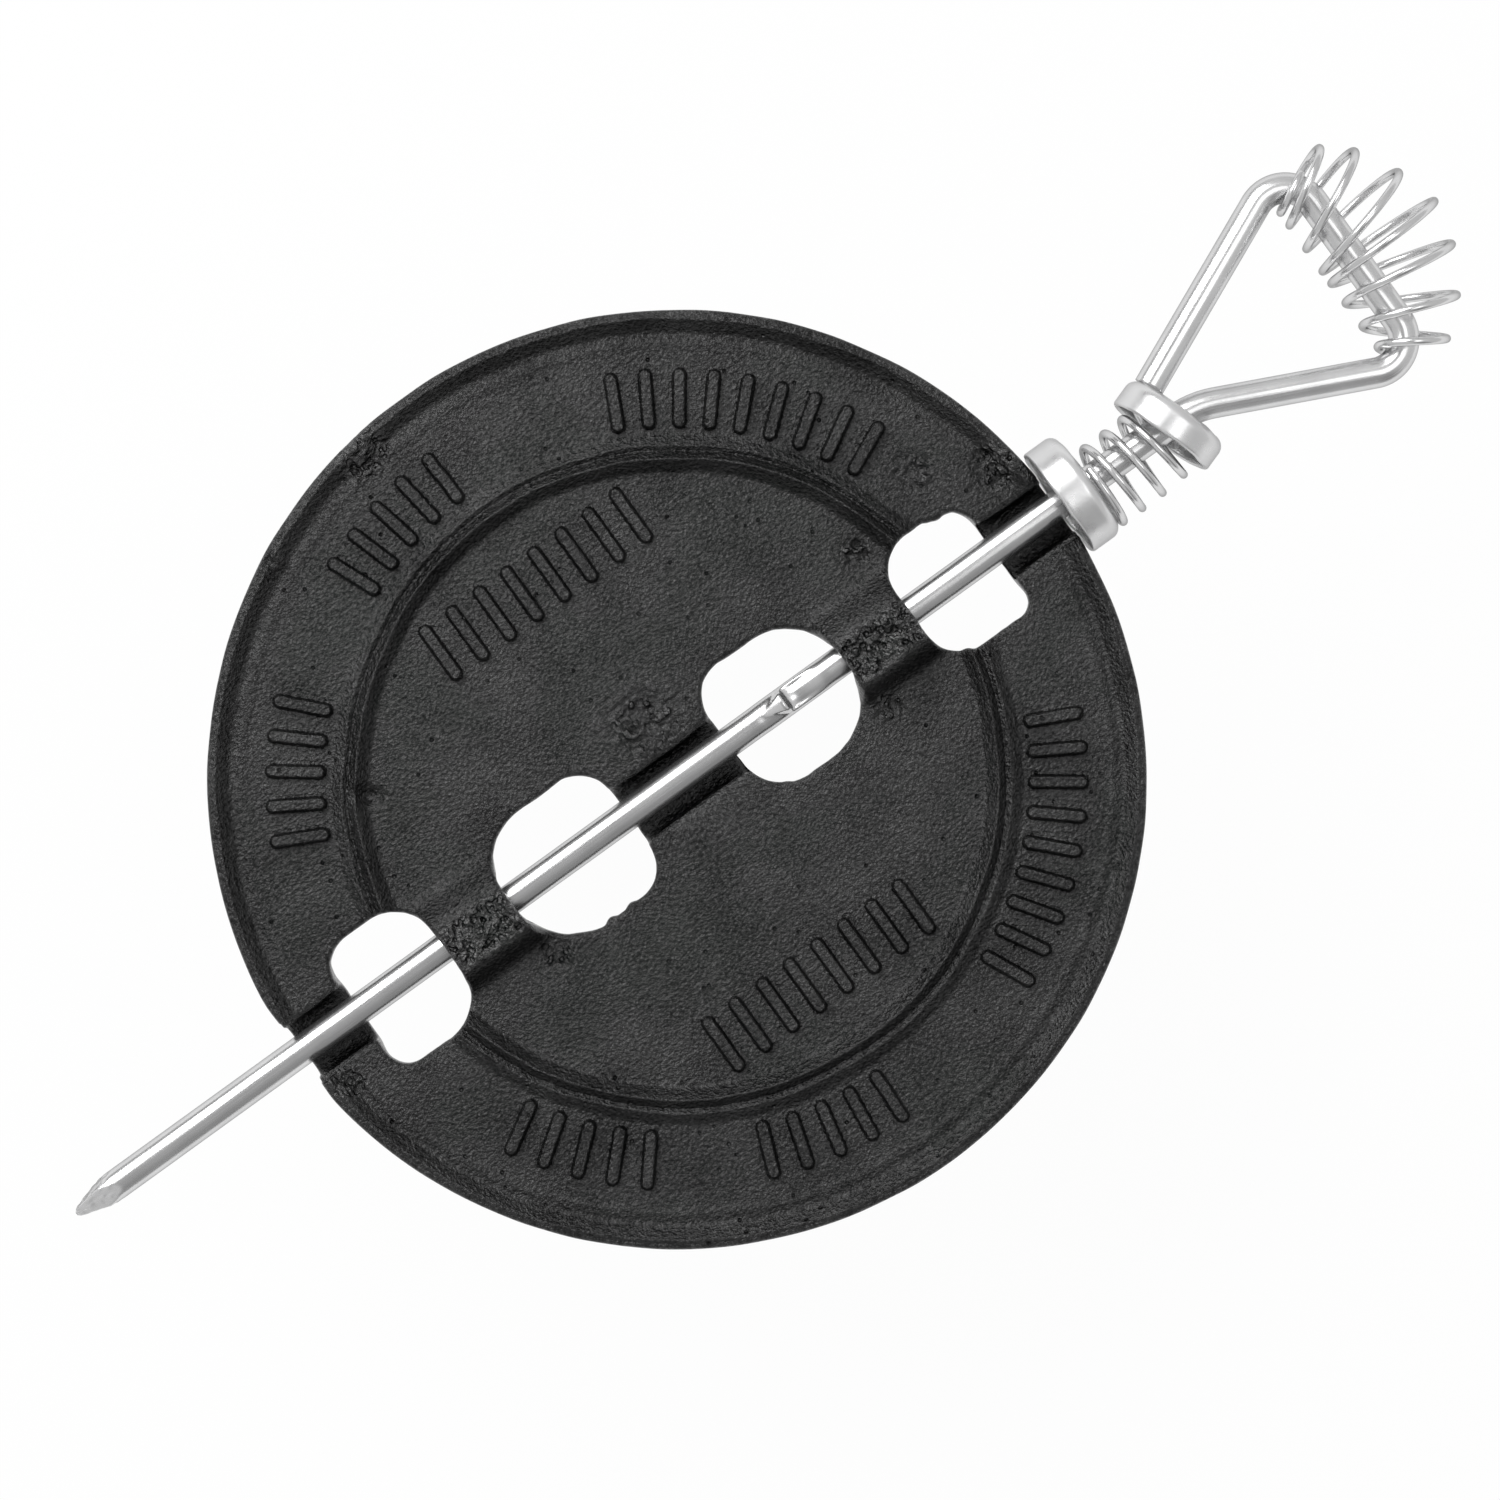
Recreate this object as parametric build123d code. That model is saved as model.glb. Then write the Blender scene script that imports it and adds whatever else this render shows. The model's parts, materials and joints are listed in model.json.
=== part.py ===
from build123d import *
from math import cos, pi, radians, sin, sqrt, tan
import os

# A stovepipe damper: a round cast-iron plate that is woven onto one bent wire, with a tension spring
# between two pressed cups outside the pipe and a barrel-shaped grip coil on the handle.
#
# Frame, in millimetres: X runs along the rod towards the handle, Y across it in the plane of the
# plate, and Z out of the plate's front face, which is the flue's direction when the damper is shut.
# The origin is the middle of the plate, on the rod's axis.

# Plate: its outline, its raised rim and its inner ring
plate_diameter = 120.65
plate_thickness = 3.0
rim_bead_width = 3.1
rim_bead_height = 0.75
rim_edge_bulge = 0.42
rim_ridge_gap = 0.35
rim_ridge_width = 2.0
rim_ridge_height = 0.2
ring_radius = 41.6
ring_width = 4.6
ring_height = 1.0

# Plate: the woven channel, as lengths along the rod and sizes across it
centre_trough_length = 16.0
bridge_position = 31.5
bridge_length = 10.5
rim_trough_length = 9.8
hole_width = 18.4
hole_trough_corner = 3.0
hole_bridge_corner = 5.6
hole_corner_share = 0.9
casting_draft = 4.0
channel_width = 7.7
channel_play = 0.6
channel_crown_corner = 2.2
channel_lip = 0.9
cover_wall = 2.6
side_wall = 2.9
cover_lean = 2.6
cover_corner = 2.0
cover_root = 1.2
cover_root_radius = 0.95

# Wire: the shank, its point and its staked barb
rod_diameter = 4.0
rod_reach = 35.0
point_length = 6.3
point_nose = 1.3
stake_start = 13.8
stake_length = 8.8
stake_swell = 0.03
stake_squeeze = 0.08
barb_length = 3.2
barb_height = 0.95
barb_width = 3.4
barb_crest = 0.6
barb_tip_drop = 0.12
scoop_depth = 0.5
scoop_lap = 0.4
stake_land = 0.4

# Wire: the handle, as a triangle whose first corner lies on the rod's axis
handle_start = 21.5
handle_reach = 27.9
lower_leg_slope = 25.4
upper_leg_slope = 23.8
grip_bar_length = 32.3
neck_radius = 12.5
corner_radius = 4.4

# Cups: the deeper one bears on the pipe, the shallower one leans against the cut end of the wire
pipe_cup_diameter = 15.3
pipe_cup_depth = 4.5
handle_cup_diameter = 14.7
handle_cup_depth = 4.1
cup_wall = 0.8
cup_shoulder = 1.4
cup_crown = 0.2
cup_hole = 6.2
cup_tilt = 18.25
cup_gap = 0.3
cup_drop = 0.65
cut_end_gap = 0.05

# Tension spring
spring_wire = 1.1
spring_diameter = 10.6
spring_free_length = 10.95
spring_offset = 1.46
spring_end_offset = 0.4
spring_turns = 4.69
spring_start_turn = 0.16
spring_flat_start = 0.4
spring_flat_end = 0.25
spring_lateness = 4.0
spring_seat_gap = 0.1

# Grip coil: a barrel that is stretched by hand, so that it differs above and below its middle
grip_wire = 1.1
grip_middle_diameter = 16.8
grip_clearance = 0.75
grip_setback = 4.1
grip_rise = 0.45
grip_bunching = 1.38
grip_turns_up = 3.85
grip_turns_down = 3.7
grip_height_up = 10.3
grip_height_down = 13.2
grip_climb_up = 98.0
grip_climb_down = 61.0
grip_fan_up = 29.0
grip_fan_down = 90.0
grip_bend_up = 90.0
grip_bend_down = 30.0
grip_swell_up = 1.5
grip_swell_down = 1.8

# How far a cutting shape runs past what it cuts, and how close two equal coordinates are
overrun = 1.0
tiny = 1e-6

# What follows from those sizes
plate_radius = plate_diameter / 2
face = plate_thickness / 2
rod_radius = rod_diameter / 2
channel_depth = rod_radius + channel_play
cover_top = channel_depth + cover_wall
cover_half = channel_width / 2 + side_wall
far_reach = plate_radius + rod_reach
pipe_cup_mouth = plate_radius + cup_gap
pipe_cup_face = pipe_cup_mouth + pipe_cup_depth
handle_cup_mouth = pipe_cup_face + spring_free_length
neck = plate_radius + handle_start
grip_bar = neck + handle_reach
lower_corner = -handle_reach * tan(radians(lower_leg_slope))
upper_corner = lower_corner + grip_bar_length


# The casting

def rim_half():
    """The plate's half section, X outwards and Y up, with its bead, ridge and rounded edge."""
    bead_in = plate_radius - rim_bead_width
    bead_out = plate_radius - rim_edge_bulge
    bead_middle = (bead_in + bead_out) / 2
    ridge_out = bead_in - rim_ridge_gap
    ridge_in = ridge_out - rim_ridge_width
    ridge_middle = (ridge_in + ridge_out) / 2

    def bead(side):
        level = side * face
        crown = side * (face + rim_bead_height)
        return ThreePointArc((bead_in, level), (bead_middle, crown), (bead_out, level))

    ridge_crown = face + rim_ridge_height
    edges = [
        Line((0, face), (ridge_in, face)),
        ThreePointArc((ridge_in, face), (ridge_middle, ridge_crown), (ridge_out, face)),
        Line((ridge_out, face), (bead_in, face)),
        bead(1),
        ThreePointArc((bead_out, face), (plate_radius, 0), (bead_out, -face)),
        bead(-1),
        Line((bead_in, -face), (0, -face)),
        Line((0, -face), (0, face)),
    ]
    return make_face(edges)


def turned(section):
    """Turns a section drawn in X and Y about the plate's axis."""
    return revolve(Plane.XZ * section, axis=Axis.Z)


def ring_bead():
    half = ring_width / 2
    root = face - ring_height / 2
    low = (ring_radius - half, face)
    crown = (ring_radius, face + ring_height)
    high = (ring_radius + half, face)
    foot = [(ring_radius + half, root), (ring_radius - half, root)]
    section = make_face([ThreePointArc(low, crown, high), Polyline(high, *foot, low)])
    return turned(section)


def cover_section():
    """The outside of a bridge across the rod: leaning sides, round shoulders and hollow roots."""
    foot = cover_half + cover_root
    top = cover_half - cover_lean
    outline = Polyline(
        (-foot, 0),
        (-foot, face),
        (-cover_half, face),
        (-top, cover_top),
        (top, cover_top),
        (cover_half, face),
        (foot, face),
        (foot, 0),
        close=True,
    )
    section = make_face(outline)
    shoulders = section.vertices().group_by(Axis.Y)[-1]
    section = fillet(shoulders, cover_corner)
    roots = [v for v in section.vertices() if abs(abs(v.X) - cover_half) < tiny]
    return fillet(roots, cover_root_radius)


def channel_section():
    """The rod's way under a bridge, open to the other side, with round lips there."""
    half = channel_width / 2
    wide = half + channel_lip * 2
    below = -face - cover_top
    outline = Polyline(
        (-wide, below),
        (-wide, -face),
        (-half, -face),
        (-half, channel_depth),
        (half, channel_depth),
        (half, -face),
        (wide, -face),
        (wide, below),
        close=True,
    )
    section = make_face(outline)
    crown = section.vertices().group_by(Axis.Y)[-1]
    section = fillet(crown, channel_crown_corner)
    lips = [v for v in section.vertices() if abs(abs(v.X) - half) < tiny and v.Y < 0]
    return fillet(lips, channel_lip)


def along_rod(section, start, end, front):
    """Stretches a section along the rod, as a bridge (front) or turned over as a trough."""
    plane = Plane(origin=(start, 0, 0), x_dir=(0, 1, 0), z_dir=(1, 0, 0))
    bar = extrude(plane * section, amount=end - start)
    if front:
        return bar
    return bar.rotate(Axis.X, 180)


def weave_spans():
    """Each crossing of the rod as start, end and whether it passes in front of the rod."""
    half_centre = centre_trough_length / 2
    half_bridge = bridge_length / 2
    inner_end = plate_radius - rim_trough_length
    return [
        (-plate_radius, -inner_end, False),
        (-bridge_position - half_bridge, -bridge_position + half_bridge, True),
        (-half_centre, half_centre, False),
        (bridge_position - half_bridge, bridge_position + half_bridge, True),
        (inner_end, plate_radius, False),
    ]


def hole_outline(start, end, trough_at_start):
    """One draft hole: tighter corners beside a trough, wide ones beside a bridge."""
    length = end - start
    corners = [hole_trough_corner, hole_bridge_corner]
    room = min(1, hole_corner_share * length / sum(corners))
    if not trough_at_start:
        corners.reverse()
    outline = Pos((start + end) / 2, 0) * Rectangle(length, hole_width)
    first = outline.vertices().group_by(Axis.X)[0]
    outline = fillet(first, room * corners[0])
    last = outline.vertices().group_by(Axis.X)[-1]
    return fillet(last, room * corners[1])


def draft_hole(start, end, trough_at_start):
    outline = hole_outline(start, end, trough_at_start)
    reach = cover_top + overrun
    up = extrude(outline, amount=reach, taper=-casting_draft)
    down = extrude(outline, amount=-reach, taper=-casting_draft)
    return up + down


def damper_plate():
    plate = turned(rim_half()) + ring_bead()
    spans = weave_spans()
    for start, end, front in spans:
        plate += along_rod(cover_section(), start - overrun, end + overrun, front)
    disc = Cylinder(plate_radius, 2 * (cover_top + overrun))
    plate = plate & disc
    for (_, start, front), (end, _, _) in zip(spans, spans[1:]):
        plate -= draft_hole(start, end, not front)
    for start, end, front in spans:
        plate -= along_rod(channel_section(), start - overrun, end + overrun, front)
    return plate


# The wire

def wire_point():
    """The sheared point: four flats that leave a small blunt nose."""
    end = -far_reach
    base = end + point_length
    far_square = Plane(origin=(end, 0, 0), z_dir=(1, 0, 0)) * Rectangle(point_nose, point_nose)
    base_square = Plane(origin=(base, 0, 0), z_dir=(1, 0, 0)) * Rectangle(rod_diameter, rod_diameter)
    flats = loft([far_square, base_square])
    bar = Plane(origin=(end, 0, 0), z_dir=(1, 0, 0)) * Cylinder(
        rod_radius, point_length, align=(Align.CENTER, Align.CENTER, Align.MIN)
    )
    return flats & bar


def stake():
    """The staked length: squeezed a little oval, with a barb in front and a scoop behind it."""
    start = Plane(origin=(stake_start, 0, 0), x_dir=(0, 1, 0), z_dir=(1, 0, 0))
    oval = extrude(
        start * Ellipse(rod_radius + stake_swell, rod_radius - stake_squeeze),
        amount=stake_length,
    )
    steep = stake_start + barb_length
    top = rod_radius + barb_height
    wedge = Polyline(
        (stake_start, 0),
        (stake_start, rod_radius - 2 * stake_squeeze),
        (steep - barb_crest, top),
        (steep, top - barb_tip_drop),
        (steep, 0),
        close=True,
    )
    barb = extrude(Plane.XZ * make_face(wedge), amount=barb_width / 2, both=True)
    barb = barb & (Pos(steep, 0, 0) * Rot(0, 90, 0) * Cylinder(top, 4 * barb_length))
    scoop_start = steep - scoop_lap
    scoop_end = stake_start + stake_length - stake_land
    half_scoop = (scoop_end - scoop_start) / 2
    scoop_radius = (half_scoop**2 + scoop_depth**2) / (2 * scoop_depth)
    scoop_height = rod_radius - stake_squeeze - scoop_depth + scoop_radius
    scoop = Pos(scoop_start + half_scoop, 0, scoop_height) * Rot(90, 0, 0) * Cylinder(
        scoop_radius, 2 * rod_diameter
    )
    return oval - scoop + barb


def shank():
    start = -far_reach + point_length
    plane = Plane(origin=(start, 0, 0), z_dir=(1, 0, 0))
    return plane * Cylinder(
        rod_radius, stake_start - start, align=(Align.CENTER, Align.CENTER, Align.MIN)
    )


def cup_axis():
    return Vector(cos(radians(cup_tilt)), sin(radians(cup_tilt)))


def handle_cup_origin():
    return Vector(handle_cup_mouth, -cup_drop)


def handle_end():
    """Where the upper leg is cut: its square end just clears the handle cup's closed face."""
    slope = radians(upper_leg_slope)
    along = Vector(-cos(slope), -sin(slope))
    corner = Vector(grip_bar, upper_corner)
    lean = rod_radius * sin(slope - radians(cup_tilt))
    stop = handle_cup_depth + abs(lean) + cut_end_gap
    distance = (corner - handle_cup_origin()).dot(cup_axis()) - stop
    return corner + along * (distance / -along.dot(cup_axis()))


def handle_path():
    start = stake_start + stake_length
    return FilletPolyline(
        (start, 0),
        (neck, 0),
        (grip_bar, lower_corner),
        (grip_bar, upper_corner),
        handle_end(),
        radius=[neck_radius, corner_radius, corner_radius],
    )


def round_bar(path, diameter):
    """Sweeps a round section along a path, square to where the path starts."""
    start = Plane(origin=path @ 0, z_dir=path % 0)
    return sweep(start * Circle(diameter / 2), path=path)


def damper_rod():
    return wire_point() + shank() + stake() + round_bar(handle_path(), rod_diameter)


# The cups

def cup(diameter, depth):
    """One cup, mouth at X = 0, with a round drawn shoulder and a crowned face towards +X."""
    outer = diameter / 2
    inner = outer - cup_wall
    edge = cup_hole / 2
    outline = Polyline(
        (edge, depth + cup_crown),
        (outer, depth),
        (outer, 0),
        (inner, 0),
        (inner, depth - cup_wall),
        (edge, depth + cup_crown - cup_wall),
        close=True,
    )
    section = make_face(outline)
    shoulder = [v for v in section.vertices() if v.X > inner + cup_wall / 2 and v.Y > 0]
    section = fillet(shoulder, cup_shoulder)
    hollow = [v for v in section.vertices() if abs(v.X - inner) < tiny and v.Y > cup_wall]
    section = fillet(hollow, cup_shoulder - cup_wall)
    upright = revolve(Plane.XZ * section, axis=Axis.Z)
    return upright.rotate(Axis.Y, 90)


def pipe_collar():
    return Pos(pipe_cup_mouth, 0, 0) * cup(pipe_cup_diameter, pipe_cup_depth)


def handle_collar():
    origin = handle_cup_origin()
    place = Pos(origin.X, origin.Y, 0) * Rot(0, 0, cup_tilt)
    return place * cup(handle_cup_diameter, handle_cup_depth)


# The coils

def spring_seats():
    """The middle of the tension spring's first turn and of its last."""
    seat = spring_wire / 2 + spring_seat_gap
    start = Vector(pipe_cup_face + cup_crown + seat, -spring_offset)
    depth = handle_cup_depth - cup_wall - seat
    across = Vector(sin(radians(cup_tilt)), -cos(radians(cup_tilt)))
    end = handle_cup_origin() + cup_axis() * depth + across * spring_end_offset
    return start, end


def spring_point(turn):
    """A point of the tension spring's centre line, counted in turns from its top.

    The turns stay square to the rod at first; the last ones rise and lean into the tilted cup.
    """
    rising = spring_turns - spring_flat_start - spring_flat_end
    share = (turn - spring_start_turn - spring_flat_start) / rising
    share = min(max(share, 0), 1)
    late = share**spring_lateness
    start, end = spring_seats()
    centre = Vector(start.X + (end.X - start.X) * share, start.Y + (end.Y - start.Y) * late)
    lean = radians(cup_tilt) * late
    across = Vector(-sin(lean), cos(lean))
    angle = 2 * pi * turn
    radius = spring_diameter / 2
    return centre + across * (radius * cos(angle)) + Vector(0, 0, radius * sin(angle))


def grip_point(turn):
    """A point of the grip coil's centre line, counted in turns from the middle of the barrel.

    Each turn's plane leans as a fan's ribs do, its diameter swells towards the middle, and the
    turns start from one line inside the handle, where the middle ones bunch together.
    """
    if turn > 0:
        share, swell = turn / grip_turns_up, grip_swell_up
        height, climb = grip_height_up, grip_climb_up
        fan, bend = grip_fan_up, grip_bend_up
    else:
        share, swell = -turn / grip_turns_down, grip_swell_down
        height, climb = -grip_height_down, grip_climb_down
        fan, bend = -grip_fan_down, grip_bend_down
    snug = rod_diameter + grip_wire + 2 * grip_clearance
    diameter = grip_middle_diameter - (grip_middle_diameter - snug) * share**swell
    lean = radians(fan) * sin(share * radians(bend))
    rise = height * sin(share**grip_bunching * radians(climb))
    middle = (lower_corner + upper_corner) / 2 + grip_rise
    out = Vector(cos(lean), sin(lean))
    centre = Vector(grip_bar - grip_setback, middle + rise) + out * (diameter / 2)
    angle = 2 * pi * turn
    radius = diameter / 2
    return centre + out * (radius * cos(angle)) - Vector(0, 0, radius * sin(angle))


def direction(curve, turn):
    step = 1e-4
    return (curve(turn + step) - curve(turn - step)).normalized()


def biarc(start, start_way, end, end_way):
    """Two arcs that join end to end and leave both ends in the given directions."""
    chord = end - start
    both = start_way + end_way
    bend = 2 * (1 - start_way.dot(end_way))
    reach = chord.dot(both)
    arm = (sqrt(reach**2 + bend * chord.dot(chord)) - reach) / bend
    middle = (start + end + (start_way - end_way) * arm) * 0.5
    first = Edge.make_tangent_arc(start, start_way, middle)
    second = Edge.make_tangent_arc(end, end_way * -1, middle)
    return first, second


def coil(curve, first, last, diameter):
    """One unbroken wound wire along a curve, as a pair of arcs for each half turn."""
    halves = round(2 * (last - first))
    turns = [first + (last - first) * n / halves for n in range(halves + 1)]
    arcs = []
    for here, there in zip(turns, turns[1:]):
        arcs += biarc(curve(here), direction(curve, here), curve(there), direction(curve, there))
    return round_bar(Wire(arcs), diameter)


def least_gap(curve, first, last, diameter):
    """The least gap between two stretches of one wire that lie over half a turn apart."""
    half_turn = 20
    count = round(2 * half_turn * (last - first))
    points = [curve(first + (last - first) * n / count) for n in range(count + 1)]
    lengths = [
        (other - point).length
        for n, point in enumerate(points)
        for other in points[n + half_turn:]
    ]
    return min(lengths) - diameter


def tension_spring():
    last = spring_start_turn + spring_turns
    gap = least_gap(spring_point, spring_start_turn, last, spring_wire)
    print("tension_spring least gap to itself", round(gap, 3), "mm")
    return coil(spring_point, spring_start_turn, last, spring_wire)


def grip_spring():
    gap = least_gap(grip_point, -grip_turns_down, grip_turns_up, grip_wire)
    print("grip_spring least gap to itself", round(gap, 3), "mm")
    return coil(grip_point, -grip_turns_down, grip_turns_up, grip_wire)


os.makedirs("parts", exist_ok=True)
for make in (damper_plate, damper_rod, pipe_collar, tension_spring, handle_collar, grip_spring):
    export_step(make(), "parts/" + make.__name__ + ".step")
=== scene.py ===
import json
import math

import bpy
import numpy as np
from bpy.props import FloatProperty, FloatVectorProperty, PointerProperty
from mathutils import Matrix, Vector


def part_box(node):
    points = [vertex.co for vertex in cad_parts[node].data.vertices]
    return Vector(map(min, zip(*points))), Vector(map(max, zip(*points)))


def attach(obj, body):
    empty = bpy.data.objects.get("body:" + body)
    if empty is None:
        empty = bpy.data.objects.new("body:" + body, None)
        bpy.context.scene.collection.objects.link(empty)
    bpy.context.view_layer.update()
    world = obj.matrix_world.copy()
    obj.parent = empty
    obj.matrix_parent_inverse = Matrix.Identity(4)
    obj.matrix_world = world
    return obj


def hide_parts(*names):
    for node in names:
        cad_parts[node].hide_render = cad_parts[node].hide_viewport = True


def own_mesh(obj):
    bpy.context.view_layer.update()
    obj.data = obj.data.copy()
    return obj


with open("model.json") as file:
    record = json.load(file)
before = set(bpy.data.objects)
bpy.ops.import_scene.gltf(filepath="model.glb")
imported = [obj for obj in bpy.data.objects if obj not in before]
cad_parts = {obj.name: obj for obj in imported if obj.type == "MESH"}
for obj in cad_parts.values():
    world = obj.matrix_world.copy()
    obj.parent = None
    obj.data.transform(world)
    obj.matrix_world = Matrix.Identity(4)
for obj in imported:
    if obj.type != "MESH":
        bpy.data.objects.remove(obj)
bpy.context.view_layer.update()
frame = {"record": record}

bl_info = {
    "name": "Stovepipe damper",
    "version": (1, 0, 0),
    "blender": (4, 5, 0),
    "location": "View3D > Sidebar > Damper",
    "description": "Casts, bends and winds the pieces of a stovepipe damper in its packed frame",
    "category": "Object",
}

# Frame, in metres: X along the rod towards the handle, Y across it in the plate's plane, Z out of
# the plate's front face. The origin is the middle of the plate, on the rod's axis.
MM = 0.001
PLATE_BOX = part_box("damper_plate")
ROD_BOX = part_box("damper_rod")
PIPE_CUP_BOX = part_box("pipe_collar")
PLATE_RADIUS = PLATE_BOX[1].x
COVER_TOP = PLATE_BOX[1].z
MOUNTS = {mount["name"]: mount for mount in frame["record"]["mounts"]}
WIRE_RADIUS = MOUNTS["rod_shank"]["dims"]["r_mm"] * MM
PLATE_TRIANGLES = 190000    # most that the thinned casting keeps
ROD_SIDES, CUP_SIDES, COIL_SIDES = 64, 128, 24
TURN_STEPS = 56             # rings of points in one turn of a coil
CUT_RINGS = 4               # rings that bevel a cut end


def length(name, description, millimetres):
    """A size that a user can change, given in millimetres and kept in metres."""
    return FloatProperty(name=name, description=description, default=millimetres * MM,
                         unit="LENGTH", precision=5)


def angle(name, description, degrees):
    return FloatProperty(name=name, description=description, default=math.radians(degrees),
                         subtype="ANGLE")


def number(name, description, value):
    return FloatProperty(name=name, description=description, default=value)


def pair(name, description, values):
    """Two plain numbers, for the parts above and below a middle."""
    return FloatVectorProperty(name=name, description=description, default=values, size=2)


def colour(name, description, value):
    return FloatVectorProperty(name=name, description=description, default=(*value, 1.0), size=4,
                               subtype="COLOR", min=0, max=1)


class CastingSizes(bpy.types.PropertyGroup):
    thickness: length("Thickness", "Plate between its faces", 3.0)
    rim_crown: length("Rim crown", "Rim's highest line", 59.0)
    rim_slope: length("Rim slope", "Rim's crown to its inner foot", 1.65)
    rim_height: length("Rim height", "Rim's crown over the face", 1.3)
    rim_step: length("Rim step", "Drop from the rim's crown to its outer ledge", 0.15)
    ridge_radius: length("Ridge radius", "Low ridge inside the rim", 55.9)
    ridge_slope: length("Ridge slope", "Low ridge's crown to either foot", 1.1)
    ridge_height: length("Ridge height", "Low ridge over the face", 0.12)
    ring_radius: length("Ring radius", "Inner ring's highest line", 41.15)
    ring_outer_slope: length("Ring outer slope", "Ring's crown to its outer foot", 1.5)
    ring_inner_slope: length("Ring inner slope", "Ring's crown to its inner foot", 1.6)
    ring_height: length("Ring height", "Inner ring over the face", 1.65)
    apron_radius: length("Apron radius", "Crest of the low apron outside the ring", 42.9)
    apron_outer_slope: length("Apron outer slope", "Apron's crest to its outer foot", 1.5)
    apron_inner_slope: length("Apron inner slope", "Apron's crest to its inner foot", 1.4)
    apron_height: length("Apron height", "Apron over the face", 0.85)
    edge_radius: length("Edge radius", "Rounding of every cast edge", 0.65)
    trough_end: length("Centre trough end", "Half the length of the centre trough", 8.0)
    bridge_start: length("Bridge start", "Inner end of each bridge", 26.25)
    bridge_end: length("Bridge end", "Outer end of each bridge", 36.75)
    rim_trough: length("Rim trough", "Where each rim trough starts", 50.5)
    channel_half: length("Channel half width", "Half the rod's way through the plate", 3.85)
    channel_depth: length("Channel depth", "Rod's axis to the channel's floor", 2.6)
    channel_corner: length("Channel corner", "Rounding along the channel's floor", 1.6)
    channel_lip: length("Channel lip", "Soft lip along the channel's mouth", 0.8)
    cover_half: length("Cover half width", "Half a cover's width at the face", 6.9)
    cover_lean: length("Cover lean", "How far a cover's steep flank leans in", 2.2)
    mark_height: length("Mark height", "Raised plain bars over the face", 1.0)


class WireSizes(bpy.types.PropertyGroup):
    point_length: length("Point length", "Sheared point of the rod", 6.9)
    point_nose: length("Point nose", "Half width of the blunt nose", 0.45)
    stake_start: length("Stake start", "Where the staked length starts", 13.8)
    stake_length: length("Stake length", "Staked length of the rod", 8.8)
    barb_length: length("Barb length", "Facet that climbs to the barb's crest", 3.2)
    barb_height: length("Barb height", "Crest over the rod's surface", 0.9)
    neck: length("Neck", "Handle's first corner, on the rod's axis", 81.825)
    grip_bar: length("Grip bar", "Middle of the handle's far bar", 109.725)
    lower_corner: length("Lower corner", "Grip bar's lower corner", -13.248)
    upper_corner: length("Upper corner", "Grip bar's upper corner", 19.052)
    neck_radius: length("Neck radius", "Bend where the handle leaves the rod", 12.5)
    corner_radius: length("Corner radius", "Bends at both ends of the grip bar", 4.4)
    cut_length: length("Upper leg", "Upper leg from its corner to its cut end", 33.9)
    upper_slope: angle("Upper slope", "Upper leg against the rod", 23.8)


class CupSizes(bpy.types.PropertyGroup):
    pipe_diameter: length("Pipe cup", "Pipe cup across", 15.3)
    pipe_depth: length("Pipe cup depth", "Pipe cup's rim to its face", 4.5)
    handle_diameter: length("Handle cup", "Handle cup across", 14.7)
    handle_depth: length("Handle cup depth", "Handle cup's rim to its face", 4.1)
    wall: length("Wall", "Sheet thickness", 0.8)
    shoulder: length("Shoulder", "Drawn shoulder radius", 1.4)
    crown: length("Crown", "How much the face stands out at the hole", 0.2)
    hole: length("Hole", "Hole for the rod", 6.2)
    drop: length("Drop", "Handle cup's middle below the rod's axis", 0.65)
    tilt: angle("Tilt", "Handle cup's lean against the rod", 18.25)
    reach: length("Reach", "How far the pipe cup's mouth stands nearer to the plate", 0.2)


class CoilSizes(bpy.types.PropertyGroup):
    wire: length("Spring wire", "Wire of both coils", 1.1)
    spring_diameter: length("Spring diameter", "Tension spring, middle of its wire", 10.6)
    spring_offset: length("Spring offset", "Spring's axis below the rod's axis", 1.46)
    spring_end_offset: length("Spring end offset", "Spring's far end in the cup", 0.4)
    spring_start: number("Spring start", "Turn from its top where the spring's wire starts", 0.16)
    spring_end: number("Spring end", "Turn from its top where the spring's wire ends", 4.85)
    spring_rise: number("Spring rise", "Turn where the first closed turn ends", 0.56)
    spring_land: number("Spring land", "Turn where the last closed turn starts", 4.6)
    spring_lateness: number("Spring lateness", "How late the turns lean into the cup", 4.0)
    grip_middle: length("Grip middle", "Grip coil at its widest", 16.7)
    grip_snug: length("Grip snug end", "Grip coil at its ends", 6.6)
    grip_setback: length("Grip setback", "Inner line behind the grip bar", 4.1)
    grip_rise: length("Grip rise", "Coil's middle above the bar's middle", 0.45)
    grip_bunching: number("Grip bunching", "How closely the middle turns bunch", 1.38)
    grip_turns: pair("Grip turns", "Turns above and below the middle", (3.85, 3.7))
    grip_height: pair("Grip height", "Inner line above and below the middle, in millimetres",
                      (10.3, 13.2))
    grip_climb: pair("Grip climb", "Part of a sine that the turns climb by, in degrees",
                     (98.0, 61.0))
    grip_fan: pair("Grip fan", "Lean of the end turns, in degrees", (29.0, 90.0))
    grip_bend: pair("Grip bend", "Part of a sine that the turns lean by, in degrees",
                    (90.0, 30.0))
    grip_swell: pair("Grip swell", "How full the barrel is above and below", (1.5, 1.8))


class FinishColours(bpy.types.PropertyGroup):
    iron: colour("Stove paint", "Semi-gloss black paint on the casting", (0.0013, 0.0013, 0.0013))
    plating: colour("Plating", "Bright plating on rod, cups and coils", (0.74, 0.74, 0.743))
    dulled: colour("Dulled plating", "Plating where drawing dulled it", (0.6, 0.6, 0.603))


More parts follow.
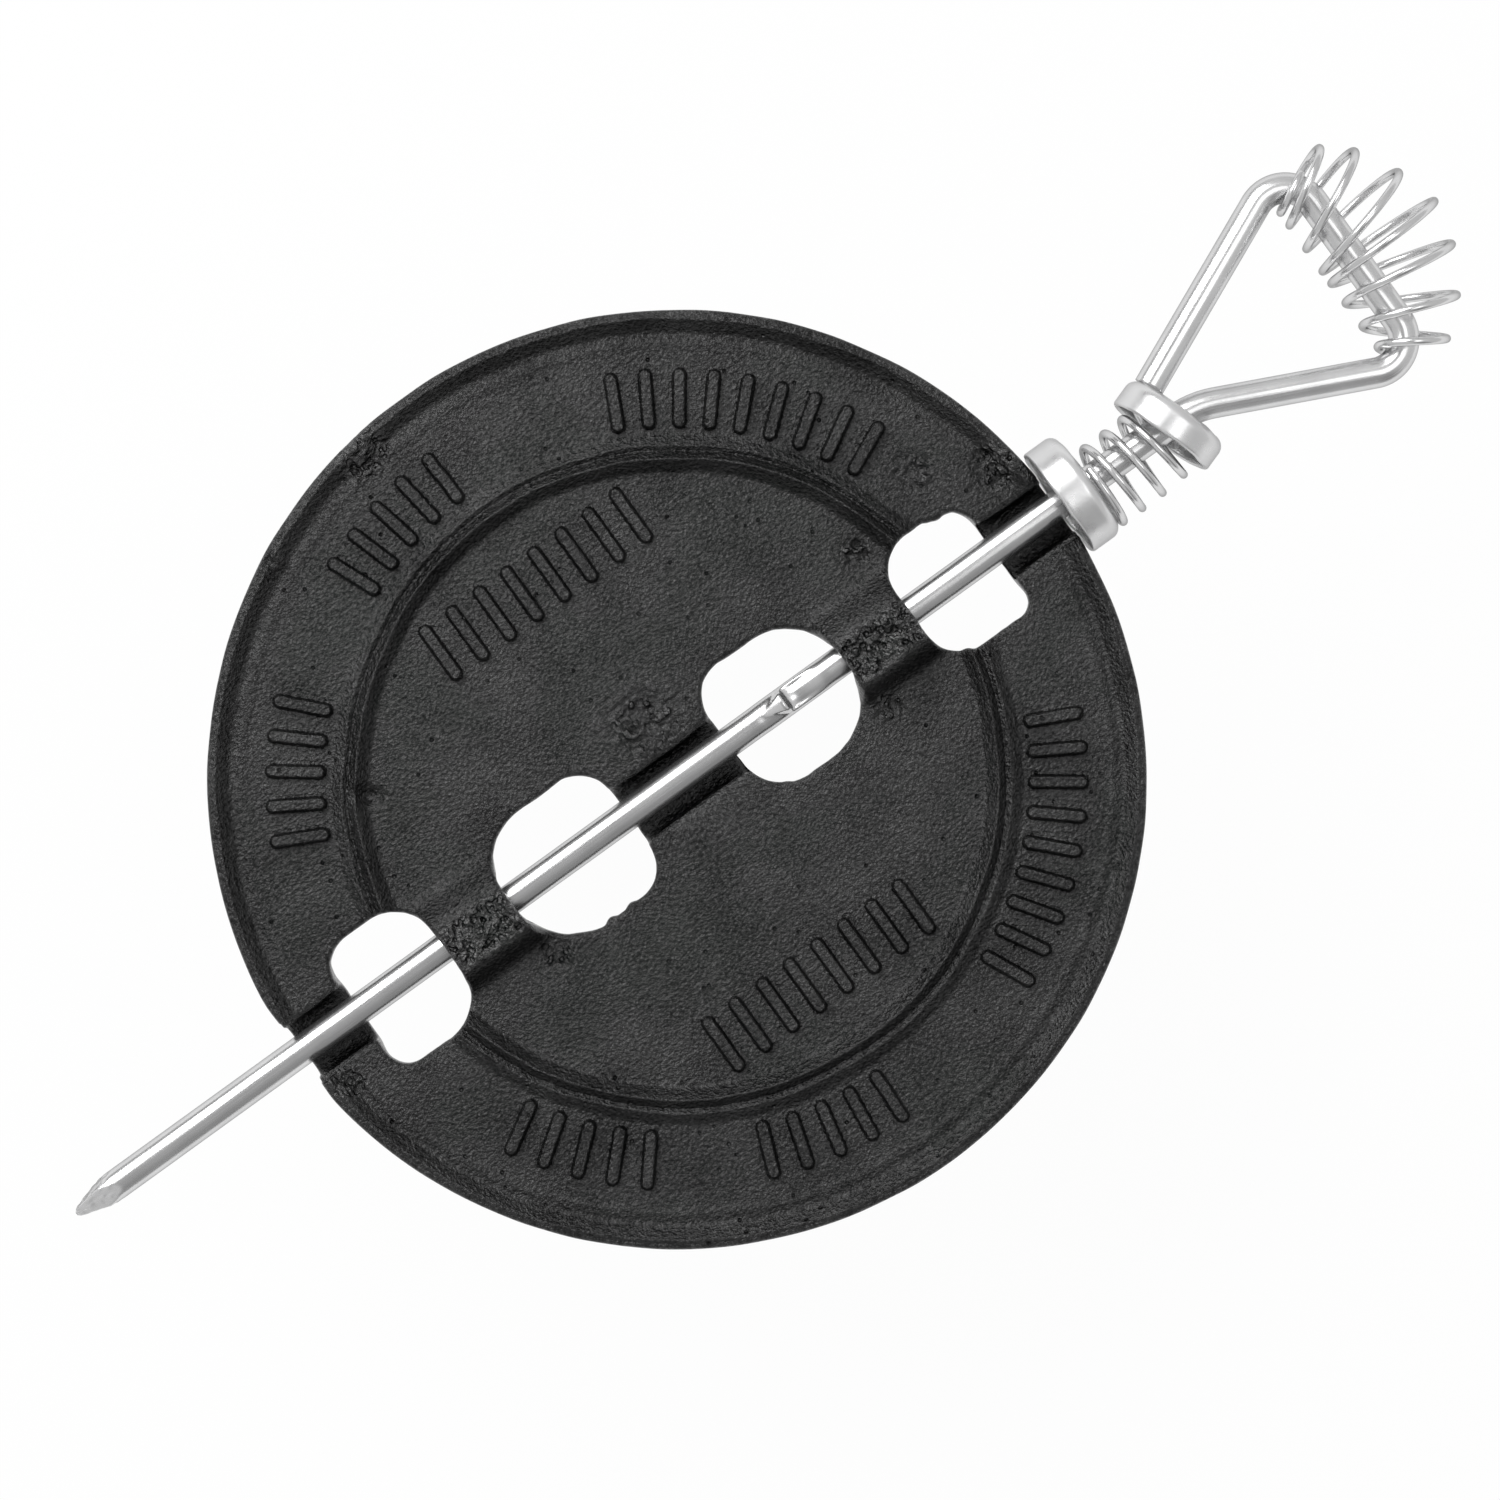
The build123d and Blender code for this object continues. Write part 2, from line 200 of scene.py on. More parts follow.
class StageSizes(bpy.types.PropertyGroup):
    view_width: length("View width", "What the photograph's width spans", 192.9)
    view_centre_x: length("View centre X", "Middle of the photograph", 9.8)
    view_centre_y: length("View centre Y", "Middle of the photograph", -2.43)
    camera_height: length("Camera height", "Camera above the plate", 600.0)
    rod_angle: angle("Rod angle", "Rod's slope in the photograph", 35.85)
    floor_gap: length("Floor gap", "Floor below the plate's whole turn", 0.3)


# Shapes in numbers

def smooth_step(t):
    """Rises from 0 to 1 over t from 0 to 1, level at both ends: 3 t^2 - 2 t^3."""
    t = np.clip(t, 0.0, 1.0)
    return t * t * (3 - 2 * t)


def soft_min(a, b, blend):
    """The smaller of two heights, with the corner between them rounded over blend."""
    h = np.clip(0.5 + 0.5 * (b - a) / blend, 0.0, 1.0)
    return b * (1 - h) + a * h - blend * h * (1 - h)


def soft_max(a, b, blend):
    return -soft_min(-a, -b, blend)


def mound(distance, inner, outer):
    """A round-topped ridge: 1 on its line, falling as a raised cosine to 0 at either foot."""
    share = np.where(distance > 0, distance / outer, distance / inner)
    return 0.5 * (1 + np.cos(np.pi * np.clip(share, -1, 1)))


def tent(distance, inner, outer, blend=0.2):
    """A straight-sided ridge: 1 on its line, falling in a line to 0 at either foot.

    Its crown and its feet are rounded over the given share of its height.
    """
    sides = soft_min(1 + distance / inner, 1 - distance / outer, blend)
    return soft_max(sides, 0 * sides, blend)


def grain(x, y, cell, seed):
    """Smooth random relief from -1 to 1: random values on a square lattice, blended between."""
    rng = np.random.default_rng(seed)
    lattice = rng.uniform(-1, 1, (257, 257))
    u = x / cell + 128.0
    v = y / cell + 128.0
    i = np.floor(u).astype(int)
    j = np.floor(v).astype(int)
    fu = smooth_step(u - i)
    fv = smooth_step(v - j)
    i0, j0 = i % 256, j % 256
    low = lattice[i0, j0] * (1 - fu) + lattice[i0 + 1, j0] * fu
    high = lattice[i0, j0 + 1] * (1 - fu) + lattice[i0 + 1, j0 + 1] * fu
    return low * (1 - fv) + high * fv


def share_away(x, y, cx, cy, radius):
    """Distance from a place, as a share of the radius. Place and radius are in millimetres."""
    return np.hypot(x - cx * MM, y - cy * MM) / (radius * MM)


def unit(turn):
    """Directions in a plane at the given turns."""
    return np.stack([np.cos(turn), np.sin(turn)], 1)


def new_piece(name, points, faces, body, stands_for, material):
    """Makes a mesh piece from its points and faces, ties it to its body and hides the CAD node it
    stands for.
    """
    mesh = bpy.data.meshes.new(name)
    mesh.from_pydata(points.tolist(), [], faces)
    mesh.validate()
    mesh.update()
    mesh.polygons.foreach_set("use_smooth", np.full(len(mesh.polygons), True))
    mesh.materials.append(material)
    piece = bpy.data.objects.new(name, mesh)
    bpy.context.scene.collection.objects.link(piece)
    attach(piece, body)
    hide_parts(stands_for)
    return piece


# The casting

# Draft holes: left, right, bottom and top, then the corner radii at the lower left, upper left,
# lower right and upper right
DRAFT_HOLES = (
    (-50.8, -36.7, -9.85, 8.55, 3.4, 4.4, 6.4, 6.2),
    (-26.4, -7.85, -9.7, 8.6, 8.6, 7.0, 5.0, 4.8),
    (8.0, 26.35, -9.4, 9.05, 6.5, 5.0, 8.5, 8.5),
    (36.7, 50.35, -8.95, 8.25, 5.8, 5.8, 2.6, 4.4),
)
# Flash left on the holes' edges: place and radius of each lump
FLASH_LUMPS = ((46.9, 8.9, 1.5), (48.4, 8.6, 1.2), (45.6, 8.5, 0.6), (39.6, -8.9, 0.8),
               (-14.2, -10.2, 0.85), (-17.4, -10.2, 0.85), (10.9, -9.2, 0.7), (24.6, 7.3, 0.7))
# Casting faults in front: place, radius and depth, which is negative for a lump
CAST_FAULTS = ((-34.0, 22.0, 2.2, 1.0), (-32.4, 20.8, 1.9, 0.45), (-8.6, 57.6, 2.4, -0.35),
               (-7.0, 58.9, 1.6, -0.3), (-26.0, 53.0, 1.3, 0.5), (-24.9, 52.2, 1.5, -0.35))
# Where the sand burnt on: place, radius and strength of each patch
ROUGH_PATCHES = ((1.0, 8.0, 6.0, 0.5), (56.5, 8.8, 3.6, 0.9), (35.6, 10.0, 2.4, 0.7),
                 (27.4, -8.6, 2.8, 0.6), (-25.5, -8.8, 2.8, 0.6), (-57.0, -7.0, 2.8, 0.6),
                 (-8.0, 57.5, 4.4, 0.7), (48.0, 14.5, 3.4, 0.5))
# Plain raised bars in the outer band: middle of each group in degrees, bars, and their spacing
BAND_GROUPS = ((143, 5, 5.0), (102, 5, 5.0), (44, 9, 4.9), (220, 5, 5.0), (258, 5, 5.0),
               (314, 9, 4.9))
# Plain raised bars in two straight rows inside the ring: the row's place and its bars
ROW_PLACES = (30.9, -31.0)
ROW_BARS = 8
ROW_SPACING = 4.3


def box_distance(x, y, left, right, low, high, *corners):
    """Signed distance to a rectangle with four round corners, positive outside it."""
    px = x - (left + right) / 2
    py = y - (low + high) / 2
    low_left, high_left, low_right, high_right = corners
    corner = np.where(px < 0, np.where(py < 0, low_left, high_left),
                      np.where(py < 0, low_right, high_right))
    qx = np.abs(px) - (right - left) / 2 + corner
    qy = np.abs(py) - (high - low) / 2 + corner
    outside = np.hypot(np.maximum(qx, 0), np.maximum(qy, 0))
    return outside + np.minimum(np.maximum(qx, qy), 0) - corner


def inside_distance(x, y):
    """Distance from a point of the plate to its nearest edge, negative off the plate.

    The least of the distances to the rim and to the four holes. Each is made a little uneven, as
    a sand mould leaves it. Lumps of flash grow out of the holes' edges, and the rim is cut back
    a little where the rod leaves it.
    """
    r = np.hypot(x, y)
    mouth = np.exp(-(y / (6.2 * MM)) ** 4) * 0.55 * MM * (x < 0)
    uneven = 0.07 * MM * (grain(x, y, 5 * MM, 3) - 1) - 0.02 * MM
    inside = PLATE_RADIUS + uneven - mouth - r
    ragged = 0.13 * MM * grain(x, y, 3.1 * MM, 5) + 0.04 * MM * grain(x, y, 1.0 * MM, 7)
    for hole in DRAFT_HOLES:
        inside = np.minimum(inside, box_distance(x, y, *(v * MM for v in hole)) + ragged)
    for cx, cy, radius in FLASH_LUMPS:
        lump = radius * MM - np.hypot(x - cx * MM, y - cy * MM)
        inside = soft_max(inside, lump, 0.5 * MM)
    return inside


def window(x, start, end, fade):
    """1 between start and end along the rod, fading to 0 over fade past each of them."""
    return smooth_step((x - start) / fade + 1) * smooth_step((end - x) / fade + 1)


def spans(sizes, front):
    """Where covers stand on the given side: the bridges in front, the troughs behind."""
    far = 2 * PLATE_RADIUS
    bridges = [(-sizes.bridge_end, -sizes.bridge_start), (sizes.bridge_start, sizes.bridge_end)]
    troughs = [(-far, -sizes.rim_trough), (-sizes.trough_end, sizes.trough_end),
               (sizes.rim_trough, far)]
    return (bridges, troughs) if front else (troughs, bridges)


def cover_height(y, sizes, face, gentle):
    """A cover's outside across the rod: a steep lower flank, an upper one that may be gentle."""
    top = COVER_TOP - 0.12 * MM
    rise = top - face
    steep = face + (sizes.cover_half + y) * rise / sizes.cover_lean
    upper_half = sizes.cover_half - 0.5 * MM * gentle
    easy = face + (upper_half - y) * rise / (sizes.cover_lean + 1.5 * MM * gentle)
    flanks = soft_min(steep, easy, 0.8 * MM)
    return soft_min(top + 0 * y, flanks, 1.3 * MM)


def channel_height(y, half, sizes, face):
    """The rod's way, seen from its open side: a floor with round corners, walls and soft lips."""
    v = np.abs(y + 0.25 * MM)
    corner = sizes.channel_corner
    over = np.clip(v - (half - corner), 0, corner)
    floor = -sizes.channel_depth + corner - np.sqrt(np.maximum(corner**2 - over**2, 0))
    lip = sizes.channel_lip
    across = np.clip(v - half, 0, lip)
    brink = face - lip + np.sqrt(np.maximum(lip**2 - (lip - across) ** 2, 0))
    far = face + (v - half - lip) * 4 + 2 * MM
    return np.where(v < half, floor, np.where(v < half + lip, brink, far))


def bar_shape(side, end):
    """1 on a bar, 0 off it, from the distances to its middle line and past its ends."""
    half_width, soft = 0.8 * MM, 0.24 * MM
    reach = np.hypot(side, np.maximum(end, 0))
    return smooth_step((half_width + soft - reach) / (2 * soft))


def plate_marks(x, y):
    """Plain raised bars, 1 on a bar and 0 off it: radial groups in the band, rows inside."""
    r = np.hypot(x, y)
    turn = np.degrees(np.arctan2(y, x)) % 360
    marks = np.zeros_like(x)
    for middle, count, spacing in BAND_GROUPS:
        for n in range(count):
            off = (turn - middle - (n - (count - 1) / 2) * spacing + 180) % 360 - 180
            side = np.abs(np.radians(off)) * r
            end = np.abs(r - 48.9 * MM) - 3.0 * MM
            marks = np.maximum(marks, bar_shape(side, end))
    for place in ROW_PLACES:
        for n in range(ROW_BARS):
            side = np.abs(x - (n - (ROW_BARS - 1) / 2) * ROW_SPACING * MM)
            end = np.abs(y - place * MM) - 3.3 * MM
            marks = np.maximum(marks, bar_shape(side, end))
    return marks


def rough_mask(x, y, sizes):
    """Where the sand burnt on: the bridges' tops and the patches, from 0 to 1."""
    top = smooth_step((3.6 * MM - np.abs(y + 1.0 * MM)) / (1.4 * MM))
    bridges = sum(window(x, start, end, 0.6 * MM) for start, end in spans(sizes, True)[0])
    rough = bridges * top
    for cx, cy, radius, strength in ROUGH_PATCHES:
        away = share_away(x, y, cx, cy, radius)
        rough = np.maximum(rough, strength * smooth_step((1 - away) * 2))
    return rough


def rim_relief(r, sizes):
    """The rim over the face: a soft inner flank to its crown, then a small step to a ledge."""
    off = np.minimum(r - sizes.rim_crown, 0)
    flank = sizes.rim_height * soft_max(1 + off / sizes.rim_slope, 0 * off, 0.2)
    ledge = sizes.rim_step * smooth_step((r - sizes.rim_crown - 0.15 * MM) / (0.4 * MM))
    ridge = mound(r - sizes.ridge_radius, sizes.ridge_slope, sizes.ridge_slope)
    return flank - ledge + sizes.ridge_height * ridge


def ring_relief(r, sizes):
    """The inner ring over the face: a narrow bead, and beside it outwards a lower apron."""
    bead = tent(r - sizes.ring_radius, sizes.ring_inner_slope, sizes.ring_outer_slope)
    apron = tent(r - sizes.apron_radius, sizes.apron_inner_slope, sizes.apron_outer_slope)
    return np.maximum(sizes.ring_height * bead, sizes.apron_height * apron)


def cast_faults(x, y):
    """Pits and lumps that the sand left: each one is a round hollow or a round mound."""
    height = np.zeros_like(x)
    for cx, cy, radius, depth in CAST_FAULTS:
        away = share_away(x, y, cx, cy, radius)
        height -= depth * MM * smooth_step(1 - away)
    return height


def side_height(x, y, inside, sizes, front):
    """Height of one side of the plate over its middle plane, measured outwards.

    The face carries the rim, the low ridge and, in front, the ring and the plain bars. Covers
    rise over it and channels sink into it where the rod passes. Every edge is rounded: the
    height drops along a quarter circle over the last bit before the edge.
    """
    face = sizes.thickness / 2
    r = np.hypot(x, y)
    wander = 0.13 * MM * grain(x, y, 7 * MM, 11) + 0.05 * MM * grain(x, y, 2.2 * MM, 12)
    raised = rim_relief(r - wander, sizes)
    if front:
        ring = ring_relief(r - 1.5 * wander, sizes)
        raised = raised + ring + sizes.mark_height * plate_marks(x, y) + cast_faults(x, y)
        raised = raised + 0.1 * grain(x, y, 2.5 * MM, 17) * np.maximum(ring, 0)
    base = face + raised
    base += 0.05 * MM * grain(x, y, 5 * MM, 13 + front) * (inside > sizes.edge_radius)
    covers, channels = spans(sizes, front)
    height = base
    for start, end in covers:
        share = window(x, start, end, 1.6 * MM)
        cover = cover_height(y, sizes, face, 1.0 if front else 0.0)
        height = height + share * (soft_max(base, cover, 1.1 * MM) - base)
    for start, end in channels:
        share = window(x, start, end, 0.5 * MM)
        ends = np.minimum(np.abs(x - start), np.abs(x - end))
        flare = 0.55 * MM * np.exp(-ends / (1.2 * MM))
        channel = channel_height(y, sizes.channel_half + flare, sizes, face)
        height = height + share * (np.minimum(height, channel) - height)
    if front:
        rough = rough_mask(x, y, sizes)
        pits = grain(x, y, 0.85 * MM, 19) + 0.6 * grain(x, y, 0.5 * MM, 23)
        height = height + rough * 0.42 * MM * (pits - 0.6)
    round_over = sizes.edge_radius
    near = np.clip(round_over - inside, 0, round_over)
    return height - (round_over - np.sqrt(np.maximum(round_over**2 - near**2, 0)))


def plate_surface(sizes, spacing):
    """Points and quads of the whole casting.

    A square grid covers the plate. Grid points just off the plate move to its edge, along the
    slope of the distance to it. Each kept square gives one face in front and one behind, at the
    two sides' heights, and a wall joins the two sides all along the edge.
    """
    reach = PLATE_RADIUS + 2 * spacing
    ticks = np.arange(-reach, reach, spacing)
    x, y = np.meshgrid(ticks, ticks, indexing="ij")
    inside = inside_distance(x, y)
    on = inside > 0
    kept = on[:-1, :-1] | on[1:, :-1] | on[1:, 1:] | on[:-1, 1:]
    used = np.zeros_like(on)
    for di in (0, 1):
        for dj in (0, 1):
            used[di:di + kept.shape[0], dj:dj + kept.shape[1]] |= kept
    index = np.full(on.shape, -1)
    index[used] = np.arange(used.sum())
    px, py, d = x[used], y[used], inside[used]
    off = d <= 0
    step = 0.02 * MM
    for _ in range(4):
        qx, qy = px[off], py[off]
        here = inside_distance(qx, qy)
        gx = (inside_distance(qx + step, qy) - here) / step
        gy = (inside_distance(qx, qy + step) - here) / step
        slope = np.maximum(gx**2 + gy**2, 0.2)
        px[off] = qx - here * gx / slope
        py[off] = qy - here * gy / slope
    d[off] = 0
    count = len(px)
    front = side_height(px, py, d, sizes, True)
    back = -side_height(px, py, d, sizes, False)
    points = np.concatenate([np.stack([px, py, front], 1), np.stack([px, py, back], 1)])
    ii, jj = np.nonzero(kept)
    a, b = index[ii, jj], index[ii + 1, jj]
    c, e = index[ii + 1, jj + 1], index[ii, jj + 1]
    padded = np.pad(kept, 1)
    faces = [np.stack([a, b, c, e], 1), np.stack([e, c, b, a], 1) + count]
    for (p, q), (di, dj) in (((a, b), (0, -1)), ((b, c), (1, 0)), ((c, e), (0, 1)),
                             ((e, a), (-1, 0))):
        rim = ~padded[ii + 1 + di, jj + 1 + dj]
        faces.append(np.stack([q[rim], p[rim], p[rim] + count, q[rim] + count], 1))
    return points, np.concatenate(faces).tolist()


def thin_out(piece, most):
    """Collapses the flattest edges first, until at most that many triangles are left."""
    triangles = sum(len(face.vertices) - 2 for face in piece.data.polygons)
    modifier = piece.modifiers.new("thin_out", "DECIMATE")
    modifier.ratio = min(1.0, most / triangles)
    graph = bpy.context.evaluated_depsgraph_get()
    mesh = bpy.data.meshes.new_from_object(piece.evaluated_get(graph))
    piece.modifiers.clear()
    old = piece.data
    piece.data = mesh
    mesh.name = piece.name
    bpy.data.meshes.remove(old)


def shade_by_formula(plate, sizes):
    """Gives each vertex the slope of the side it lies on as its normal.

    The slope is the difference of that side's height over a short step either way. Thinning out
    then leaves no facets in the gloss.
    """
    x, y, z = mesh_points(plate.data).T
    step = 0.03 * MM
    normals = []
    gaps = []
    for front in (True, False):
        def height(px, py):
            return side_height(px, py, inside_distance(px, py), sizes, front)

        along = (height(x + step, y) - height(x - step, y)) / (2 * step)
        across = (height(x, y + step) - height(x, y - step)) / (2 * step)
        sign = 1.0 if front else -1.0
        gaps.append(np.abs(z - sign * height(x, y)))
        normals.append(np.stack([-along, -across, np.full_like(x, sign)], 1))
    normal = np.where((gaps[0] <= gaps[1])[:, None], normals[0], normals[1])
    normal /= np.linalg.norm(normal, axis=1)[:, None]
    plate.data.normals_split_custom_set_from_vertices(normal.tolist())


def write_mask(mesh, name, values):
    attribute = mesh.attributes.new(name, "FLOAT", "POINT")
    attribute.data.foreach_set("value", values.astype(np.float32))


def mesh_points(mesh):
    points = np.empty(len(mesh.vertices) * 3)
    mesh.vertices.foreach_get("co", points)
    return points.reshape(-1, 3)


# Wire, cups and coils

def bent_path(corners, radii, step):
    """Points and directions along straight runs joined by arcs, in the plane of the plate.

    At each corner the arc starts and ends one tangent length away, the radius times the tangent
    of half the turn. A straight run is cut at every step and an arc at every four degrees or so.
    """
    corners = [np.array(c, float) for c in corners]
    points, ways = [], []

    def run(start, end):
        span = np.linalg.norm(end - start)
        count = max(2, int(span / step))
        share = np.linspace(0, 1, count, endpoint=False)[:, None]
        points.append(start + (end - start) * share)
        ways.append(np.repeat([(end - start) / span], count, 0))

    here = corners[0]
    for before, corner, after, radius in zip(corners, corners[1:], corners[2:], radii):
        way_in = (corner - before) / np.linalg.norm(corner - before)
        way_out = (after - corner) / np.linalg.norm(after - corner)
        turn = math.atan2(way_in[0] * way_out[1] - way_in[1] * way_out[0], way_in @ way_out)
        tangent = radius * math.tan(abs(turn) / 2)
        start = corner - way_in * tangent
        run(here, start)
        side = math.copysign(1, turn)
        centre = start + np.array([-way_in[1], way_in[0]]) * radius * side
        count = max(3, int(abs(math.degrees(turn)) / 4))
        steps = np.linspace(0, turn, count, endpoint=False)
        first = math.atan2(*(start - centre)[::-1])
        points.append(centre + radius * unit(first + steps))
        base = math.atan2(way_in[1], way_in[0])
        ways.append(unit(base + steps))
        here = corner + way_out * tangent
    end = corners[-1]
    run(here, end)
    points.append(end[None])
    ways.append(ways[-1][-1:])
    flat = np.concatenate(points)
    way = np.concatenate(ways)
    zero = np.zeros((len(flat), 1))
    return np.hstack([flat, zero]), np.hstack([way, zero])


def tube_faces(rings, around):
    """Quads between neighbouring rings of points, and a fan over each end."""
    i = np.arange(rings - 1)[:, None] * around
    j = np.arange(around)[None]
    k = (j + 1) % around
    quads = np.stack([i + j, i + k, i + around + k, i + around + j], -1).reshape(-1, 4)
    first = rings * around
    last = (rings - 1) * around
    ring = np.arange(around)
    following = (ring + 1) % around
    start = np.stack([following, ring, np.full(around, first)], 1)
    end = np.stack([last + ring, last + following, np.full(around, first + 1)], 1)
    return quads.tolist() + start.tolist() + end.tolist()


def across_frame(ways):
    """Two unit vectors square to each direction: one in the plate's plane, one near Z."""
    side = np.stack([-ways[:, 1], ways[:, 0], np.zeros(len(ways))], 1)
    side /= np.linalg.norm(side, axis=1)[:, None]
    up = np.cross(ways, side)
    return side, up


def round_end(count, radius, bevel):
    """Shares of the radius and set-back of the rings that bevel a cut end."""
    turn = np.linspace(np.pi / 2, 0, count)
    return (radius - bevel + bevel * np.cos(turn)) / radius, bevel * (1 - np.sin(turn))


def swept_wire(centres, ways, outwards, radius, around, bevel):
    """Points of a round wire along a line: a circle square to the line at each of its points.

    outwards gives a direction that is nearly square to the line, from which the circle starts.
    At each end the rings shrink along a small quarter circle, the bevel of a cut.
    """
    ways = ways / np.linalg.norm(ways, axis=1)[:, None]
    outwards = outwards - ways * (outwards * ways).sum(1)[:, None]
    outwards /= np.linalg.norm(outwards, axis=1)[:, None]
    other = np.cross(ways, outwards)
    shares, setback = round_end(CUT_RINGS, radius, bevel)
    head = centres[0] + ways[0] * setback[:, None]
    tail = centres[-1] - ways[-1] * setback[::-1][:, None]
    centres = np.concatenate([head, centres[1:-1], tail])
    last = len(outwards) - 1
    index = np.concatenate([[0] * CUT_RINGS, np.arange(1, last), [last] * CUT_RINGS])
    scale = np.concatenate([shares, np.ones(last - 1), shares[::-1]]) * radius
    turn = np.linspace(0, 2 * np.pi, around, endpoint=False)
    circle = outwards[index][:, None] * np.cos(turn)[None, :, None]
    circle = circle + other[index][:, None] * np.sin(turn)[None, :, None]
    rings = centres[:, None] + circle * scale[:, None, None]
    points = np.concatenate([rings.reshape(-1, 3), centres[:1], centres[-1:]])
    return points, tube_faces(len(centres), around)


def stretch_map(piece, along, around):
    """A UV map for a wire: U its length in metres and V once around it, both from attributes."""
    mesh = piece.data
    layer = mesh.uv_layers.new(name="wire")
    loops = np.empty(len(mesh.loops), int)
    mesh.loops.foreach_get("vertex_index", loops)
    uv = np.stack([along[loops], around[loops]], 1)
    layer.data.foreach_set("uv", uv.ravel())


def rod_line(sizes):
    """The rod's middle line: the straight shank, then the three bends of the handle."""
    tip = (ROD_BOX[0].x, 0.0)
    slope = sizes.upper_slope
    reach = sizes.cut_length
    end = (sizes.grip_bar - reach * math.cos(slope), sizes.upper_corner - reach * math.sin(slope))
    corners = [tip, (sizes.neck, 0.0), (sizes.grip_bar, sizes.lower_corner),
               (sizes.grip_bar, sizes.upper_corner), end]
    radii = [sizes.neck_radius, sizes.corner_radius, sizes.corner_radius]
    return bent_path(corners, radii, 0.35 * MM)


def rod_surface(sizes, around):
    """Points of the rod: circles along its line, then the point and the barb pressed into them.

    The point is the circle cut by a square that narrows to the nose. Along the stake the circle
    is a little oval. A triangular facet lifts its top to a crest, and behind the crest's steep
    face a scoop is taken out, as a chisel leaves it.
    """
    centres, ways = rod_line(sizes)
    side, up = across_frame(ways)
    rings = len(centres)
    turn = np.linspace(0, 2 * np.pi, around, endpoint=False)
    c, s = np.cos(turn)[None], np.sin(turn)[None]
    x = centres[:, :1]
    tip = ROD_BOX[0].x
    along = x - tip
    share = np.clip(along / sizes.point_length, 0, 1)
    nose = sizes.point_nose
    wide = nose + (1.03 * WIRE_RADIUS - nose) * share
    square = wide / np.maximum(np.abs(c * 0.94 + s * 0.34), np.abs(s * 0.94 - c * 0.34))
    on_shank = (along < sizes.point_length * 1.05) & (np.arange(rings)[:, None] < rings // 2)
    hammered = 0.13 * MM * grain(along + 0 * c, WIRE_RADIUS * (turn[None] + 0 * x), 0.6 * MM, 29)
    radius = np.where(on_shank, np.minimum(WIRE_RADIUS, square + hammered * (share < 0.98)),
                      WIRE_RADIUS)
    radius = radius - 0.4 * MM * np.exp(-np.clip(along, 0, None) / (0.25 * MM)) * on_shank
    radius = np.maximum(radius, 0.05 * MM)
    y = radius * c
    z = radius * s
    straight = np.abs(ways[:, 1:2]) < 1e-6
    stake_end = sizes.stake_start + sizes.stake_length
    stake = window(x, sizes.stake_start, stake_end, 1.2 * MM) * straight
    y = y * (1 + 0.015 * stake)
    z = z * (1 - 0.035 * stake)
    lift, scoop = barb_relief(x, y, sizes)
    facing = smooth_step((s - 0.15) / 0.5)
    z = z + (lift - scoop) * facing * straight
    points = centres[:, None] + side[:, None] * y[..., None] + up[:, None] * z[..., None]
    flat = points.reshape(-1, 3)
    return np.concatenate([flat, centres[:1], centres[-1:]]), rings


def barb_relief(x, y, sizes):
    """How much the stake lifts and takes away from the rod's top, at each place along and across.

    The lift is a ramp whose width grows towards its crest as a triangle, and the scoop is a round
    hollow that is deepest a third of the way along.
    """
    ramp = np.clip((x - sizes.stake_start) / sizes.barb_length, 0, 1)
    past = x > sizes.stake_start + sizes.barb_length
    half = (0.15 + 1.35 * ramp) * MM
    across = smooth_step((half + 0.25 * MM - np.abs(y - 0.1 * MM)) / (0.5 * MM))
    crest = sizes.stake_start + sizes.barb_length
    falling = smooth_step((crest + 0.25 * MM - x) / (0.3 * MM))
    lift = sizes.barb_height * ramp**0.9 * across * np.where(past, falling, 1.0)
    left = sizes.stake_length - sizes.barb_length
    t = np.clip((x - crest - 0.2 * MM) / left, 0, 1)
    scoop = 0.55 * MM * np.sin(np.pi * t**0.6) * smooth_step((1.75 * MM - np.abs(y)) / (0.6 * MM))
    return lift, scoop


def cup_profile(diameter, depth, sizes):
    """A cup's section as a closed line of (along the axis, out from it), counted from its mouth.

    It runs along the outside from the mouth to the hole and back along the inside. The shoulder
    is a quarter circle outside and a smaller one inside, and both lips are half circles.
    """
    outer = diameter / 2
    wall = sizes.wall
    inner = outer - wall
    edge = sizes.hole / 2
    shoulder = sizes.shoulder
    small = shoulder - wall
    face = depth + sizes.crown
    half = wall / 2

    def arc(cx, cy, radius, start, end, count):
        turn = np.radians(np.linspace(start, end, count))
        return np.stack([cx + radius * np.cos(turn), cy + radius * np.sin(turn)], 1)

    def straight(a, b, count):
        return np.linspace(a, b, count + 2)[1:-1]

    pieces = [
        arc(half, outer - half, half, 180, 90, 7),
        straight((half, outer), (depth - shoulder, outer), 8),
        arc(depth - shoulder, outer - shoulder, shoulder, 90, 8, 14),
        straight((depth, outer - shoulder), (face - half * 0.7, edge + half * 0.7), 10),
        arc(face - half, edge + half, half, 0, -90, 6)[1:],
        arc(face - half, edge + half, half, -90, -180, 6)[1:],
        straight((face - wall, edge + half), (depth - wall, outer - shoulder), 10),
        arc(depth - shoulder, outer - shoulder, small, 0, 90, 9),
        straight((depth - shoulder, inner), (half, inner), 8),
        arc(half, outer - half, half, 270, 180, 7)[:-1],
    ]
    return np.concatenate(pieces)


